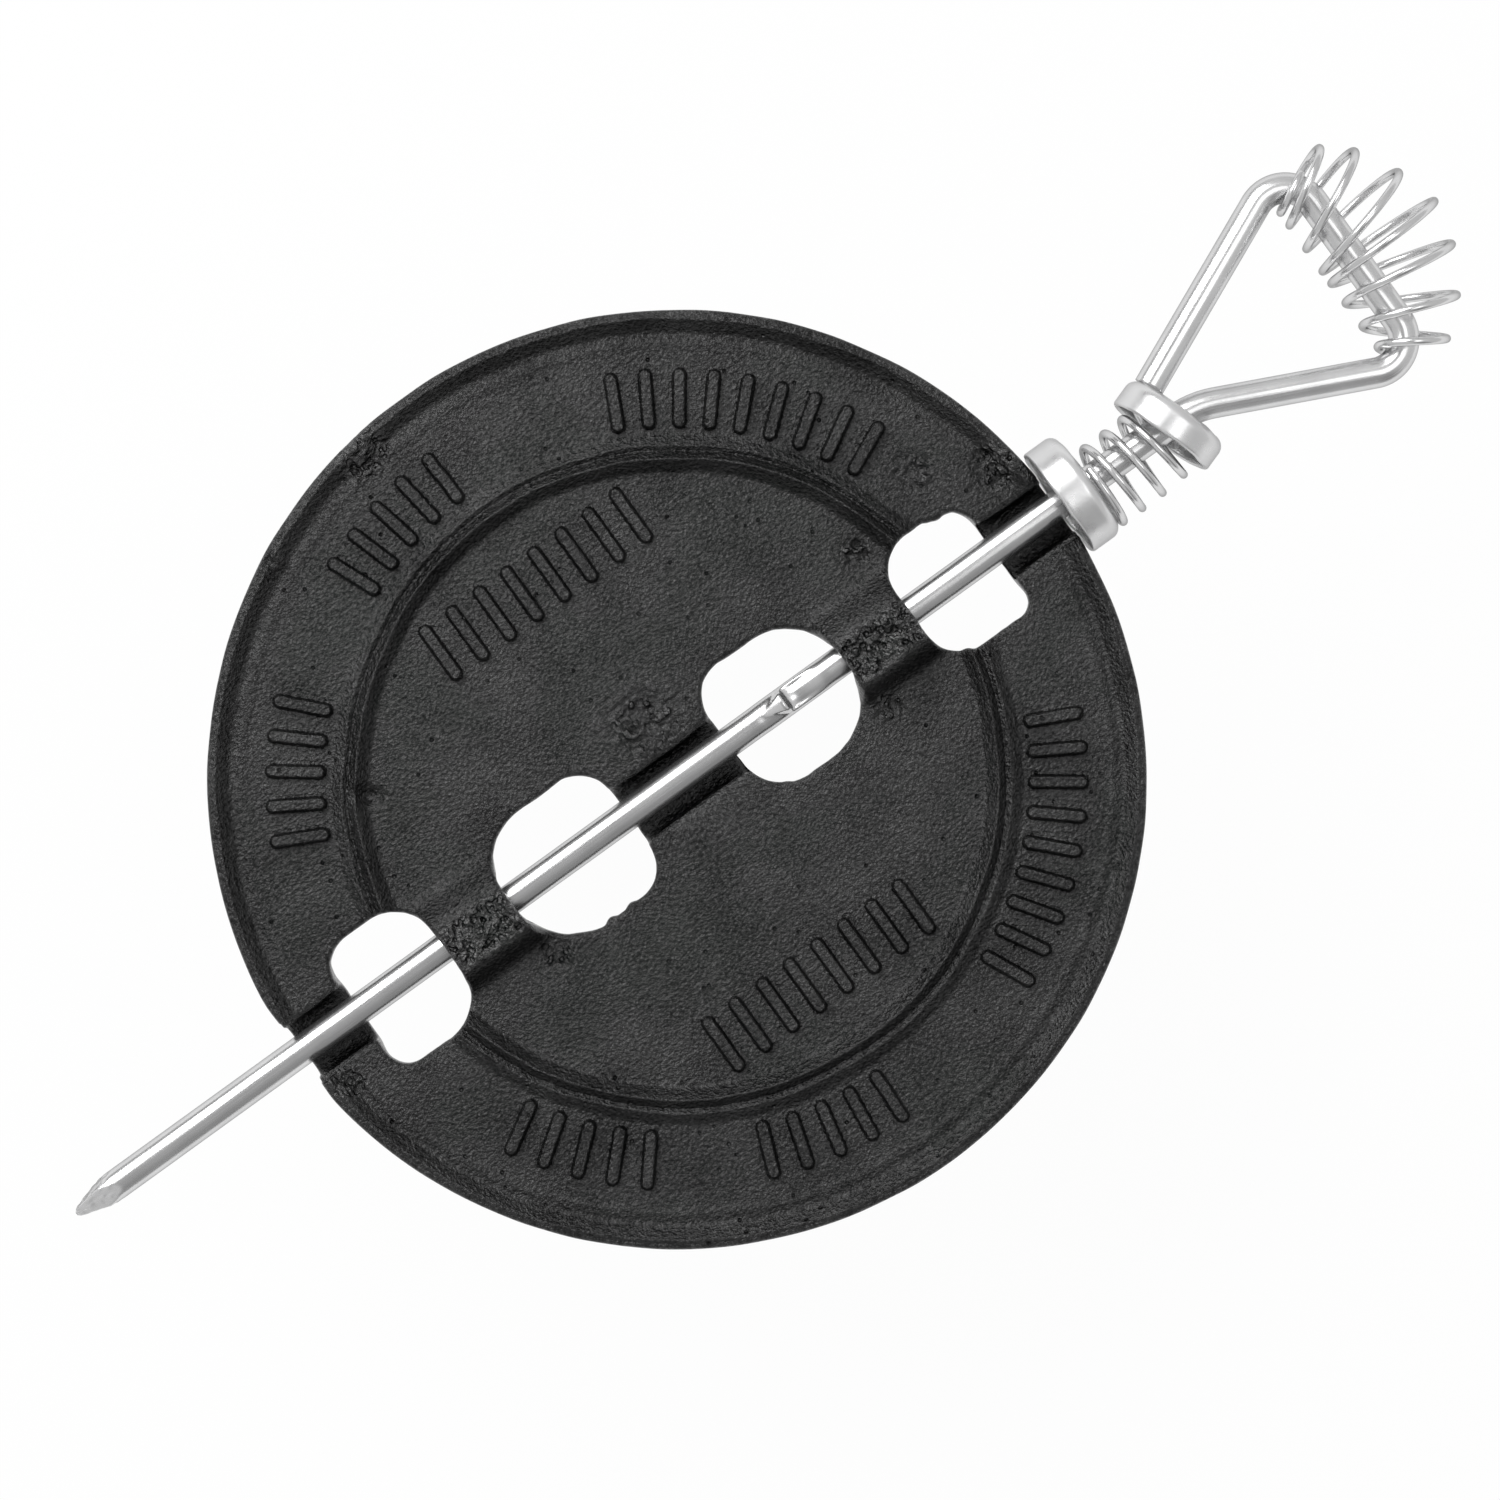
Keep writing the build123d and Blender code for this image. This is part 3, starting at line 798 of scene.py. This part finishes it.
def cup_surface(profile, around, uneven, seed):
    """Turns a cup's section about the X axis, with a slight unevenness that wobbles its gloss."""
    turn = np.linspace(0, 2 * np.pi, around, endpoint=False)
    rows = len(profile)
    along = profile[:, :1] + 0 * turn[None]
    out = profile[:, 1:] + 0 * turn[None]
    wobble = uneven * (np.sin(2 * turn + seed) + 0.6 * np.sin(5 * turn + 2 * seed))
    out = out + wobble[None] * smooth_step(out / out.max() - 0.4)
    dents = grain(along, out.max() * turn[None] + 0 * along, 2.4 * MM, seed)
    along = along + uneven * dents
    points = np.stack([along, out * np.cos(turn)[None], out * np.sin(turn)[None]], -1)
    i = np.arange(rows)[:, None]
    j = np.arange(around)[None]
    k = (j + 1) % around
    n = (i + 1) % rows
    quads = np.stack([i * around + j, i * around + k, n * around + k, n * around + j], -1)
    return points.reshape(-1, 3), quads.reshape(-1, 4)[:, ::-1].tolist()


def tilted(points, x, y, tilt):
    """Turns points about Z by the tilt, then sets them at a place on the plate's plane."""
    turn = np.array(Matrix.Rotation(tilt, 3, "Z"))
    return points @ turn.T + np.array([x, y, 0.0])


def cup_places(cups):
    """Where both cups' mouths stand: the pipe cup from the frame, the handle cup on its seat."""
    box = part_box("handle_collar")
    half = cups.handle_diameter / 2
    mouth = box[0].x + half * math.sin(cups.tilt)
    return PIPE_CUP_BOX[0].x, mouth


def spring_line(coils, cups, turns):
    """The tension spring's middle line: circles that stay square to the rod beside the pipe cup.

    The share along the spring starts and ends flat, where the turns are closed. Its power makes
    only the last turns rise and lean into the tilted handle cup.
    """
    pipe_mouth, handle_mouth = cup_places(cups)
    seat = coils.wire / 2 + 0.04 * MM
    start = np.array([pipe_mouth + cups.pipe_depth + cups.crown + seat, -coils.spring_offset])
    depth = cups.handle_depth - cups.wall - seat
    lean = np.array([math.cos(cups.tilt), math.sin(cups.tilt)])
    below = np.array([math.sin(cups.tilt), -math.cos(cups.tilt)])
    end = np.array([handle_mouth, -cups.drop]) + lean * depth + below * coils.spring_end_offset
    share = (turns - coils.spring_rise) / (coils.spring_land - coils.spring_rise)
    share = np.clip(share, 0, 1)
    late = share**coils.spring_lateness
    middle = start + (end - start) * np.stack([share, late], 1)
    tilt = cups.tilt * late
    turn = 2 * np.pi * turns
    out = np.stack([-np.sin(tilt) * np.cos(turn), np.cos(tilt) * np.cos(turn), np.sin(turn)], 1)
    centres = np.pad(middle, ((0, 0), (0, 1))) + coils.spring_diameter / 2 * out
    return centres, out


def grip_line(coils, wire, turns):
    """The grip coil's middle line: turns that lean as a fan's ribs and swell towards the middle.

    All of them start from one upright line inside the handle, where the middle turns bunch. The
    coil was stretched by hand, so its part above the middle has other numbers than the one below.
    """
    up = turns > 0
    side = np.where(up, 1.0, -1.0)

    def chosen(values):
        return np.where(up, values[0], values[1])

    share = np.abs(turns) / chosen(coils.grip_turns)
    swell = share ** chosen(coils.grip_swell)
    radius = (coils.grip_middle - (coils.grip_middle - coils.grip_snug) * swell) / 2
    lean = side * np.radians(chosen(coils.grip_fan)) * np.sin(
        share * np.radians(chosen(coils.grip_bend)))
    climb = np.sin(share**coils.grip_bunching * np.radians(chosen(coils.grip_climb)))
    middle = (wire.lower_corner + wire.upper_corner) / 2 + coils.grip_rise
    height = middle + side * chosen(coils.grip_height) * MM * climb
    out = unit(lean)
    centre = np.stack([np.full_like(turns, wire.grip_bar - coils.grip_setback), height], 1)
    centre = centre + out * radius[:, None]
    angle = (2 * np.pi * turns)[:, None]
    ring = np.hstack([out * np.cos(angle), -np.sin(angle)])
    return np.hstack([centre, np.zeros_like(angle)]) + ring * radius[:, None], ring


def wound_wire(line, first, last, diameter, around):
    """A wire wound along a line of turns, with its ways taken from the line's own neighbours."""
    count = int((last - first) * TURN_STEPS)
    turns = np.linspace(first, last, count)
    centres, outwards = line(turns)
    ways = np.gradient(centres, axis=0)
    return swept_wire(centres, ways, outwards, diameter / 2, around, 0.12 * MM)


def once_around(around, rings):
    """Turn of each point of each ring, from 0 to 1 and back, so that the map has no seam."""
    return np.tile(np.abs(np.linspace(-1, 1, around, endpoint=False)), rings)


# Finishes

def feed(tree, item, inputs):
    """Gives each named socket of a node its plain value, or links the output that feeds it."""
    for socket, value in inputs:
        if isinstance(value, bpy.types.NodeSocket):
            tree.links.new(value, item.inputs[socket])
        else:
            item.inputs[socket].default_value = value


def node(tree, kind, place, inputs=(), **values):
    item = tree.nodes.new(kind)
    item.location = place
    for name, value in values.items():
        setattr(item, name, value)
    feed(tree, item, inputs)
    return item


def calculated(tree, operation, place, *inputs, clamp=False):
    """The result of one sum, whose inputs are plain values or other nodes' outputs."""
    item = node(tree, "ShaderNodeMath", place, enumerate(inputs), operation=operation,
                use_clamp=clamp)
    return item.outputs[0]


def mapped_range(tree, source, low, high, place, bottom=0.3, top=0.7):
    """Spreads a value between bottom and top over low to high."""
    item = node(tree, "ShaderNodeMapRange", place, (
        ("Value", source), ("From Min", bottom), ("From Max", top), ("To Min", low),
        ("To Max", high)))
    return item.outputs["Result"]


def relief_group():
    """Shared by every finish: two sizes of noise as one height, and a slow mask from 0 to 1."""
    tree = bpy.data.node_groups.new("surface_relief", "ShaderNodeTree")
    socket = tree.interface.new_socket
    socket(name="Vector", socket_type="NodeSocketVector", in_out="INPUT")
    for name, value in (("Coarse Scale", 600.0), ("Fine Scale", 2500.0), ("Fine Share", 0.4),
                        ("Cloud Scale", 90.0)):
        socket(name=name, socket_type="NodeSocketFloat", in_out="INPUT").default_value = value
    for name in ("Height", "Cloud"):
        socket(name=name, socket_type="NodeSocketFloat", in_out="OUTPUT")
    given = node(tree, "NodeGroupInput", (-700, 0)).outputs
    coarse, fine, cloud = (
        node(tree, "ShaderNodeTexNoise", (-400, y), (
            ("Vector", given["Vector"]), ("Scale", given[scale]), ("Detail", detail)))
        for scale, detail, y in (("Coarse Scale", 2.0, 200), ("Fine Scale", 3.0, 0),
                                 ("Cloud Scale", 3.0, -250)))
    height = node(tree, "ShaderNodeMix", (-100, 150), (
        (0, given["Fine Share"]), (2, coarse.outputs["Fac"]), (3, fine.outputs["Fac"])))
    node(tree, "NodeGroupOutput", (500, 0), (
        ("Height", height.outputs[0]), ("Cloud", cloud.outputs["Fac"])))
    return tree


def new_material(name):
    material = bpy.data.materials.new(name)
    material.use_nodes = True
    tree = material.node_tree
    tree.nodes.clear()
    output = node(tree, "ShaderNodeOutputMaterial", (700, 0))
    shader = node(tree, "ShaderNodeBsdfPrincipled", (400, 0))
    tree.links.new(shader.outputs["BSDF"], output.inputs["Surface"])
    return material, tree, shader


def iron_paint(relief, finish):
    """Semi-gloss black paint over sand-cast iron, pitted where the piece's rough mask says so.

    Metallic serves only to lower the paint's shine, as metal this dark reflects little: in slow
    random clouds of uneven gloss, and as painted shade in the hollows of the grain, whose base
    colour is painted darker too.
    """
    _, tree, shader = new_material("stove_paint")
    place = node(tree, "ShaderNodeTexCoord", (-1100, 0)).outputs["Object"]
    burnt = node(tree, "ShaderNodeAttribute", (-1100, -400), attribute_name="rough").outputs["Fac"]
    sand = node(tree, "ShaderNodeGroup", (-800, 100), (
        ("Vector", place), ("Coarse Scale", 2100.0), ("Fine Scale", 4300.0),
        ("Fine Share", 0.35), ("Cloud Scale", 110.0)), node_tree=relief)
    height, cloud = sand.outputs["Height"], sand.outputs["Cloud"]
    pits = node(tree, "ShaderNodeTexVoronoi", (-800, -400), (("Vector", place), ("Scale", 1500.0)))
    pit_depth = calculated(tree, "MULTIPLY", (-550, -400), pits.outputs["Distance"], burnt)
    specks = node(tree, "ShaderNodeTexVoronoi", (-800, -700), (
        ("Vector", place), ("Scale", 420.0)))
    chance = node(tree, "ShaderNodeSeparateXYZ", (-550, -800), ((0, specks.outputs["Color"]),))
    picked = mapped_range(tree, chance.outputs[0], 0, 1, (-350, -800), 0.45, 0.55)
    dent = mapped_range(tree, specks.outputs["Distance"], -1, 0, (-550, -600), 0.03, 0.13)
    sunk = calculated(tree, "MULTIPLY_ADD", (-150, -650), dent, picked, pit_depth)
    skin = node(tree, "ShaderNodeBump", (-300, -100), (
        ("Strength", 1.0), ("Distance", 0.00043), ("Height", height)))
    pitted = node(tree, "ShaderNodeBump", (0, -250), (
        ("Distance", 0.0004), ("Height", sunk), ("Normal", skin.outputs["Normal"])))
    gloss = mapped_range(tree, cloud, 0.2, 0.3, (-150, 150))
    # Painted shade: the grain's hollows shine less and its tops more; the cloud term is random
    # uneven gloss.
    cloud_gloss_and_hollow_shade = calculated(tree, "ADD", (100, -50),
                         mapped_range(tree, cloud, 0.57, 0.31, (-50, 0)),
                         mapped_range(tree, height, 0.22, -0.22, (-50, -150), 0.37, 0.63))
    # Painted shade: the base colour is darker in the hollows of the grain.
    hollow_shade_colour = [v * 0.7 for v in finish.iron[:3]]
    tint = node(tree, "ShaderNodeMix", (0, 400), (
        (0, mapped_range(tree, height, 0, 1, (-300, 400))), (6, (*hollow_shade_colour, 1)), (7, finish.iron)),
        data_type="RGBA")
    feed(tree, shader, (
        ("Base Color", tint.outputs[2]),
        ("Roughness", calculated(tree, "MULTIPLY_ADD", (100, 150), burnt, -0.1, gloss)),
        ("Metallic", calculated(tree, "MULTIPLY_ADD", (200, 0), burnt, -0.6, cloud_gloss_and_hollow_shade, clamp=True)),
        ("Normal", pitted.outputs["Normal"]), ("Specular IOR Level", 0.7), ("IOR", 1.6)))


def bright_plating(name, relief, finish, polish, streaks):
    """Bright plating on drawn wire or sheet: faint lengthwise die lines and dull clouds.

    polish gives its middle roughness and how much of it is bare metal.
    """
    roughness, metallic = polish
    _, tree, shader = new_material(name)
    place = node(tree, "ShaderNodeTexCoord", (-1300, 0)).outputs
    stretch = node(tree, "ShaderNodeMapping", (-1050, 0), (
        ("Vector", place["UV"]), ("Scale", streaks)))
    wear = node(tree, "ShaderNodeGroup", (-750, 0), (
        ("Vector", stretch.outputs["Vector"]), ("Coarse Scale", 1.0), ("Fine Scale", 3.1),
        ("Cloud Scale", 0.35)), node_tree=relief).outputs["Height"]
    clouds = node(tree, "ShaderNodeGroup", (-750, 350), (
        ("Vector", place["Object"]), ("Cloud Scale", 260.0)), node_tree=relief).outputs["Cloud"]
    tint = node(tree, "ShaderNodeMix", (-100, 300), (
        (0, mapped_range(tree, clouds, 0, 0.5, (-400, 350))), (6, finish.plating),
        (7, finish.dulled)), data_type="RGBA")
    lines = node(tree, "ShaderNodeBump", (0, -250), (("Distance", 0.000012), ("Height", wear)))
    feed(tree, shader, (
        ("Base Color", tint.outputs[2]),
        ("Roughness", mapped_range(tree, wear, roughness * 0.75, roughness * 1.35, (-400, 50))),
        ("Normal", lines.outputs["Normal"]), ("Metallic", metallic),
        ("Specular Tint", (0.45, 0.45, 0.45, 1))))


def finishes(context):
    """All finishes, built once and kept by name."""
    if "stove_paint" not in bpy.data.materials:
        relief = relief_group()
        finish = context.scene.damper_finish
        iron_paint(relief, finish)
        for name, polish, streaks in (("bright_rod", (0.22, 0.96), (40.0, 26.0, 1.0)),
                                      ("bright_cup", (0.3, 0.84), (300.0, 8.0, 1.0)),
                                      ("bright_coil", (0.2, 1.0), (60.0, 9.0, 1.0))):
            bright_plating(name, relief, finish, polish, streaks)
    return bpy.data.materials


# Operators, one for each piece and one for the stage

class DAMPER_OT_cast_plate(bpy.types.Operator):
    """Casts the round iron plate that is woven onto the rod"""
    bl_idname = "damper.cast_plate"
    bl_label = "Cast plate"

    def execute(self, context):
        sizes = context.scene.damper_casting
        spacing = 0.2 * MM
        points, faces = plate_surface(sizes, spacing)
        plate = new_piece("cast_plate", points, faces, "plate", "damper_plate",
                          finishes(context)["stove_paint"])
        thin_out(plate, PLATE_TRIANGLES)
        x, y, z = mesh_points(plate.data).T
        write_mask(plate.data, "rough", rough_mask(x, y, sizes) * (z > sizes.thickness / 2))
        shade_by_formula(plate, sizes)
        return {"FINISHED"}


class DAMPER_OT_bend_rod(bpy.types.Operator):
    """Bends the one wire that is point, shank, barb and handle"""
    bl_idname = "damper.bend_rod"
    bl_label = "Bend rod"

    def execute(self, context):
        sizes = context.scene.damper_wire
        around = ROD_SIDES
        points, rings = rod_surface(sizes, around)
        rod = new_piece("wire_rod", points, tube_faces(rings, around), "rod", "damper_rod",
                        finishes(context)["bright_rod"])
        centres, _ = rod_line(sizes)
        steps = np.linalg.norm(np.diff(centres, axis=0), axis=1)
        along = np.repeat(np.concatenate([[0], np.cumsum(steps)]), around)
        turn = once_around(around, rings)
        stretch_map(rod, np.append(along, [0, along[-1]]), np.append(turn, [0, 0]))
        return {"FINISHED"}


class DAMPER_OT_press_cups(bpy.types.Operator):
    """Presses the two cups that hold the tension spring"""
    bl_idname = "damper.press_cups"
    bl_label = "Press cups"

    def execute(self, context):
        cups = context.scene.damper_cups
        pipe_mouth, handle_mouth = cup_places(cups)
        around = CUP_SIDES
        material = finishes(context)["bright_cup"]
        for name, node_name, body, diameter, depth, seed, place in (
            ("pipe_cup", "pipe_collar", "pipe_collar", cups.pipe_diameter,
             cups.pipe_depth + cups.reach, 1,
             (pipe_mouth - cups.reach, 0.0, 0.0)),
            ("handle_cup", "handle_collar", "rod", cups.handle_diameter, cups.handle_depth, 2,
             (handle_mouth, -cups.drop, cups.tilt)),
        ):
            profile = cup_profile(diameter, depth, cups)
            points, faces = cup_surface(profile, around, 0.08 * MM, seed)
            cup = new_piece(name, tilted(points, *place), faces, body, node_name, material)
            across = np.repeat(profile[:, 0] + profile[:, 1], around)
            stretch_map(cup, across, once_around(around, len(profile)))
        return {"FINISHED"}


def add_coil(context, name, node_name, body, line, first, last):
    """Winds one coil and gives it its map of length and turn."""
    coils = context.scene.damper_coils
    around = COIL_SIDES
    points, faces = wound_wire(line, first, last, coils.wire, around)
    coil = new_piece(name, points, faces, body, node_name, finishes(context)["bright_coil"])
    rings = (len(points) - 2) // around
    step = np.pi * coils.wire * 4 / TURN_STEPS
    along = np.repeat(np.arange(rings) * step, around)
    turn = once_around(around, rings)
    stretch_map(coil, np.append(along, [0, along[-1]]), np.append(turn, [0, 0]))
    return coil


class DAMPER_OT_wind_tension_spring(bpy.types.Operator):
    """Winds the spring that presses the cups apart, on a mesh of its own"""
    bl_idname = "damper.wind_tension_spring"
    bl_label = "Wind tension spring"

    def execute(self, context):
        coils, cups = context.scene.damper_coils, context.scene.damper_cups
        spring = add_coil(context, "coil_spring", "tension_spring", "spring",
                          lambda turns: spring_line(coils, cups, turns), coils.spring_start,
                          coils.spring_end)
        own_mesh(spring)
        return {"FINISHED"}


class DAMPER_OT_wind_grip(bpy.types.Operator):
    """Winds the barrel-shaped coil that keeps the grip cool"""
    bl_idname = "damper.wind_grip"
    bl_label = "Wind grip coil"

    def execute(self, context):
        coils, wire = context.scene.damper_coils, context.scene.damper_wire
        add_coil(context, "coil_grip", "grip_spring", "rod",
                 lambda turns: grip_line(coils, wire, turns), -coils.grip_turns[1],
                 coils.grip_turns[0])
        return {"FINISHED"}


def area_light(name, place, aim, width, height, power):
    """A soft rectangular lamp at a place, facing a point."""
    lamp = bpy.data.lights.new(name, "AREA")
    lamp.shape = "RECTANGLE"
    lamp.size = width
    lamp.size_y = height
    lamp.energy = power
    holder = bpy.data.objects.new(name, lamp)
    bpy.context.scene.collection.objects.link(holder)
    way = Vector(aim) - Vector(place)
    holder.rotation_euler = way.to_track_quat("-Z", "Y").to_euler()
    holder.location = place
    holder.visible_camera = False


class DAMPER_OT_set_stage(bpy.types.Operator):
    """Sets the pale floor, the soft studio lamps and the camera above the plate"""
    bl_idname = "damper.set_stage"
    bl_label = "Set stage"

    def execute(self, context):
        stage = context.scene.damper_stage
        scene = context.scene
        scene.view_settings.view_transform = "Standard"
        self.add_floor(stage)
        self.add_world(scene)
        self.add_lamps(stage)
        self.add_camera(scene, stage)
        return {"FINISHED"}

    def add_floor(self, stage):
        """A wide round floor, white as a sweep is, low enough for the plate to turn."""
        level = -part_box("damper_plate")[1].y - stage.floor_gap
        turn = np.linspace(0, 2 * np.pi, 96, endpoint=False)
        ring = np.stack([3 * np.cos(turn), 3 * np.sin(turn), 0 * turn + level], 1)
        mesh = bpy.data.meshes.new("floor")
        mesh.from_pydata(ring.tolist(), [], [list(range(96))])
        floor = bpy.data.objects.new("floor", mesh)
        bpy.context.scene.collection.objects.link(floor)
        material, tree, shader = new_material("pale_floor")
        feed(tree, shader, (("Base Color", (0.8, 0.8, 0.8, 1)), ("Roughness", 0.9)))
        rays = node(tree, "ShaderNodeLightPath", (-200, 400)).outputs
        either = calculated(tree, "MAXIMUM", (0, 400), rays["Is Camera Ray"],
                            rays["Is Glossy Ray"])
        any_ray = calculated(tree, "MAXIMUM", (200, 400), either, rays["Is Transmission Ray"])
        seen = calculated(tree, "MULTIPLY", (400, 400), any_ray, 0.96)
        glow = node(tree, "ShaderNodeEmission", (400, 300))
        mix = node(tree, "ShaderNodeMixShader", (600, 200), (
            (0, seen), (1, shader.outputs["BSDF"]), (2, glow.outputs["Emission"])))
        feed(tree, tree.nodes["Material Output"], (("Surface", mix.outputs["Shader"]),))
        mesh.materials.append(material)

    def add_world(self, scene):
        """A pale studio: brighter towards the rod's two ends than across it, and overhead."""
        world = bpy.data.worlds.new("studio")
        scene.world = world
        world.use_nodes = True
        tree = world.node_tree
        tree.nodes.clear()
        place = node(tree, "ShaderNodeTexCoord", (-900, 0)).outputs["Generated"]
        split = node(tree, "ShaderNodeSeparateXYZ", (-700, 0), ((0, place),)).outputs
        shift = calculated(tree, "ADD", (-600, 200), split["X"], 0.07)
        ends = calculated(tree, "ABSOLUTE", (-500, 100), shift)
        side = mapped_range(tree, ends, 0.34, 0.8, (-300, 100), 0.1, 0.42)
        over = mapped_range(tree, split["Z"], 0.0, 0.14, (-300, -200), 0.6, 0.97)
        back = node(tree, "ShaderNodeBackground", (100, 0), (
            ("Strength", calculated(tree, "ADD", (-100, 0), side, over)),))
        node(tree, "ShaderNodeOutputWorld", (300, 0), (
            ("Surface", back.outputs["Background"]),))

    def add_lamps(self, stage):
        """A broad softbox beyond the plate's upper edge, and a smaller one above the handle."""
        aim = (stage.view_centre_x, stage.view_centre_y, 0)
        area_light("key", (-0.08, 0.67, 0.67), aim, 0.72, 0.69, 7.6)
        area_light("handle_side", (0.2, -0.1, 0.5), (0.2, -0.1, 0), 0.2, 0.27, 0.265)

    def add_camera(self, scene, stage):
        """Straight above the plate, turned so that the rod climbs to the right."""
        camera = bpy.data.cameras.new("camera")
        camera.sensor_width = 36.0
        camera.lens = 36.0 * stage.camera_height / stage.view_width
        camera.clip_end = 20.0
        holder = bpy.data.objects.new("camera", camera)
        scene.collection.objects.link(holder)
        c, s = math.cos(stage.rod_angle), math.sin(stage.rod_angle)
        turn = Matrix(((c, s, 0, 0), (-s, c, 0, 0), (0, 0, 1, 0), (0, 0, 0, 1)))
        place = Matrix.Translation((stage.view_centre_x, stage.view_centre_y,
                                    stage.camera_height))
        holder.matrix_world = place @ turn
        scene.camera = holder


class DAMPER_PT_pieces(bpy.types.Panel):
    bl_label = "Stovepipe damper"
    bl_idname = "DAMPER_PT_pieces"
    bl_space_type = "VIEW_3D"
    bl_region_type = "UI"
    bl_category = "Damper"

    def draw(self, context):
        for operator in OPERATORS:
            self.layout.operator(operator.bl_idname)


GROUPS = {
    "damper_casting": CastingSizes,
    "damper_wire": WireSizes,
    "damper_cups": CupSizes,
    "damper_coils": CoilSizes,
    "damper_finish": FinishColours,
    "damper_stage": StageSizes,
}
OPERATORS = (DAMPER_OT_set_stage, DAMPER_OT_cast_plate, DAMPER_OT_bend_rod,
             DAMPER_OT_press_cups, DAMPER_OT_wind_tension_spring, DAMPER_OT_wind_grip)


def register():
    for group in GROUPS.values():
        bpy.utils.register_class(group)
    for name, group in GROUPS.items():
        setattr(bpy.types.Scene, name, PointerProperty(type=group))
    for operator in OPERATORS:
        bpy.utils.register_class(operator)
    bpy.utils.register_class(DAMPER_PT_pieces)


def unregister():
    bpy.utils.unregister_class(DAMPER_PT_pieces)
    for operator in reversed(OPERATORS):
        bpy.utils.unregister_class(operator)
    for name in GROUPS:
        delattr(bpy.types.Scene, name)
    for group in reversed(list(GROUPS.values())):
        bpy.utils.unregister_class(group)


def main():
    register()
    bpy.ops.damper.set_stage()
    bpy.ops.damper.cast_plate()
    bpy.ops.damper.bend_rod()
    bpy.ops.damper.press_cups()
    bpy.ops.damper.wind_tension_spring()
    bpy.ops.damper.wind_grip()


if __name__ == "__main__":
    main()
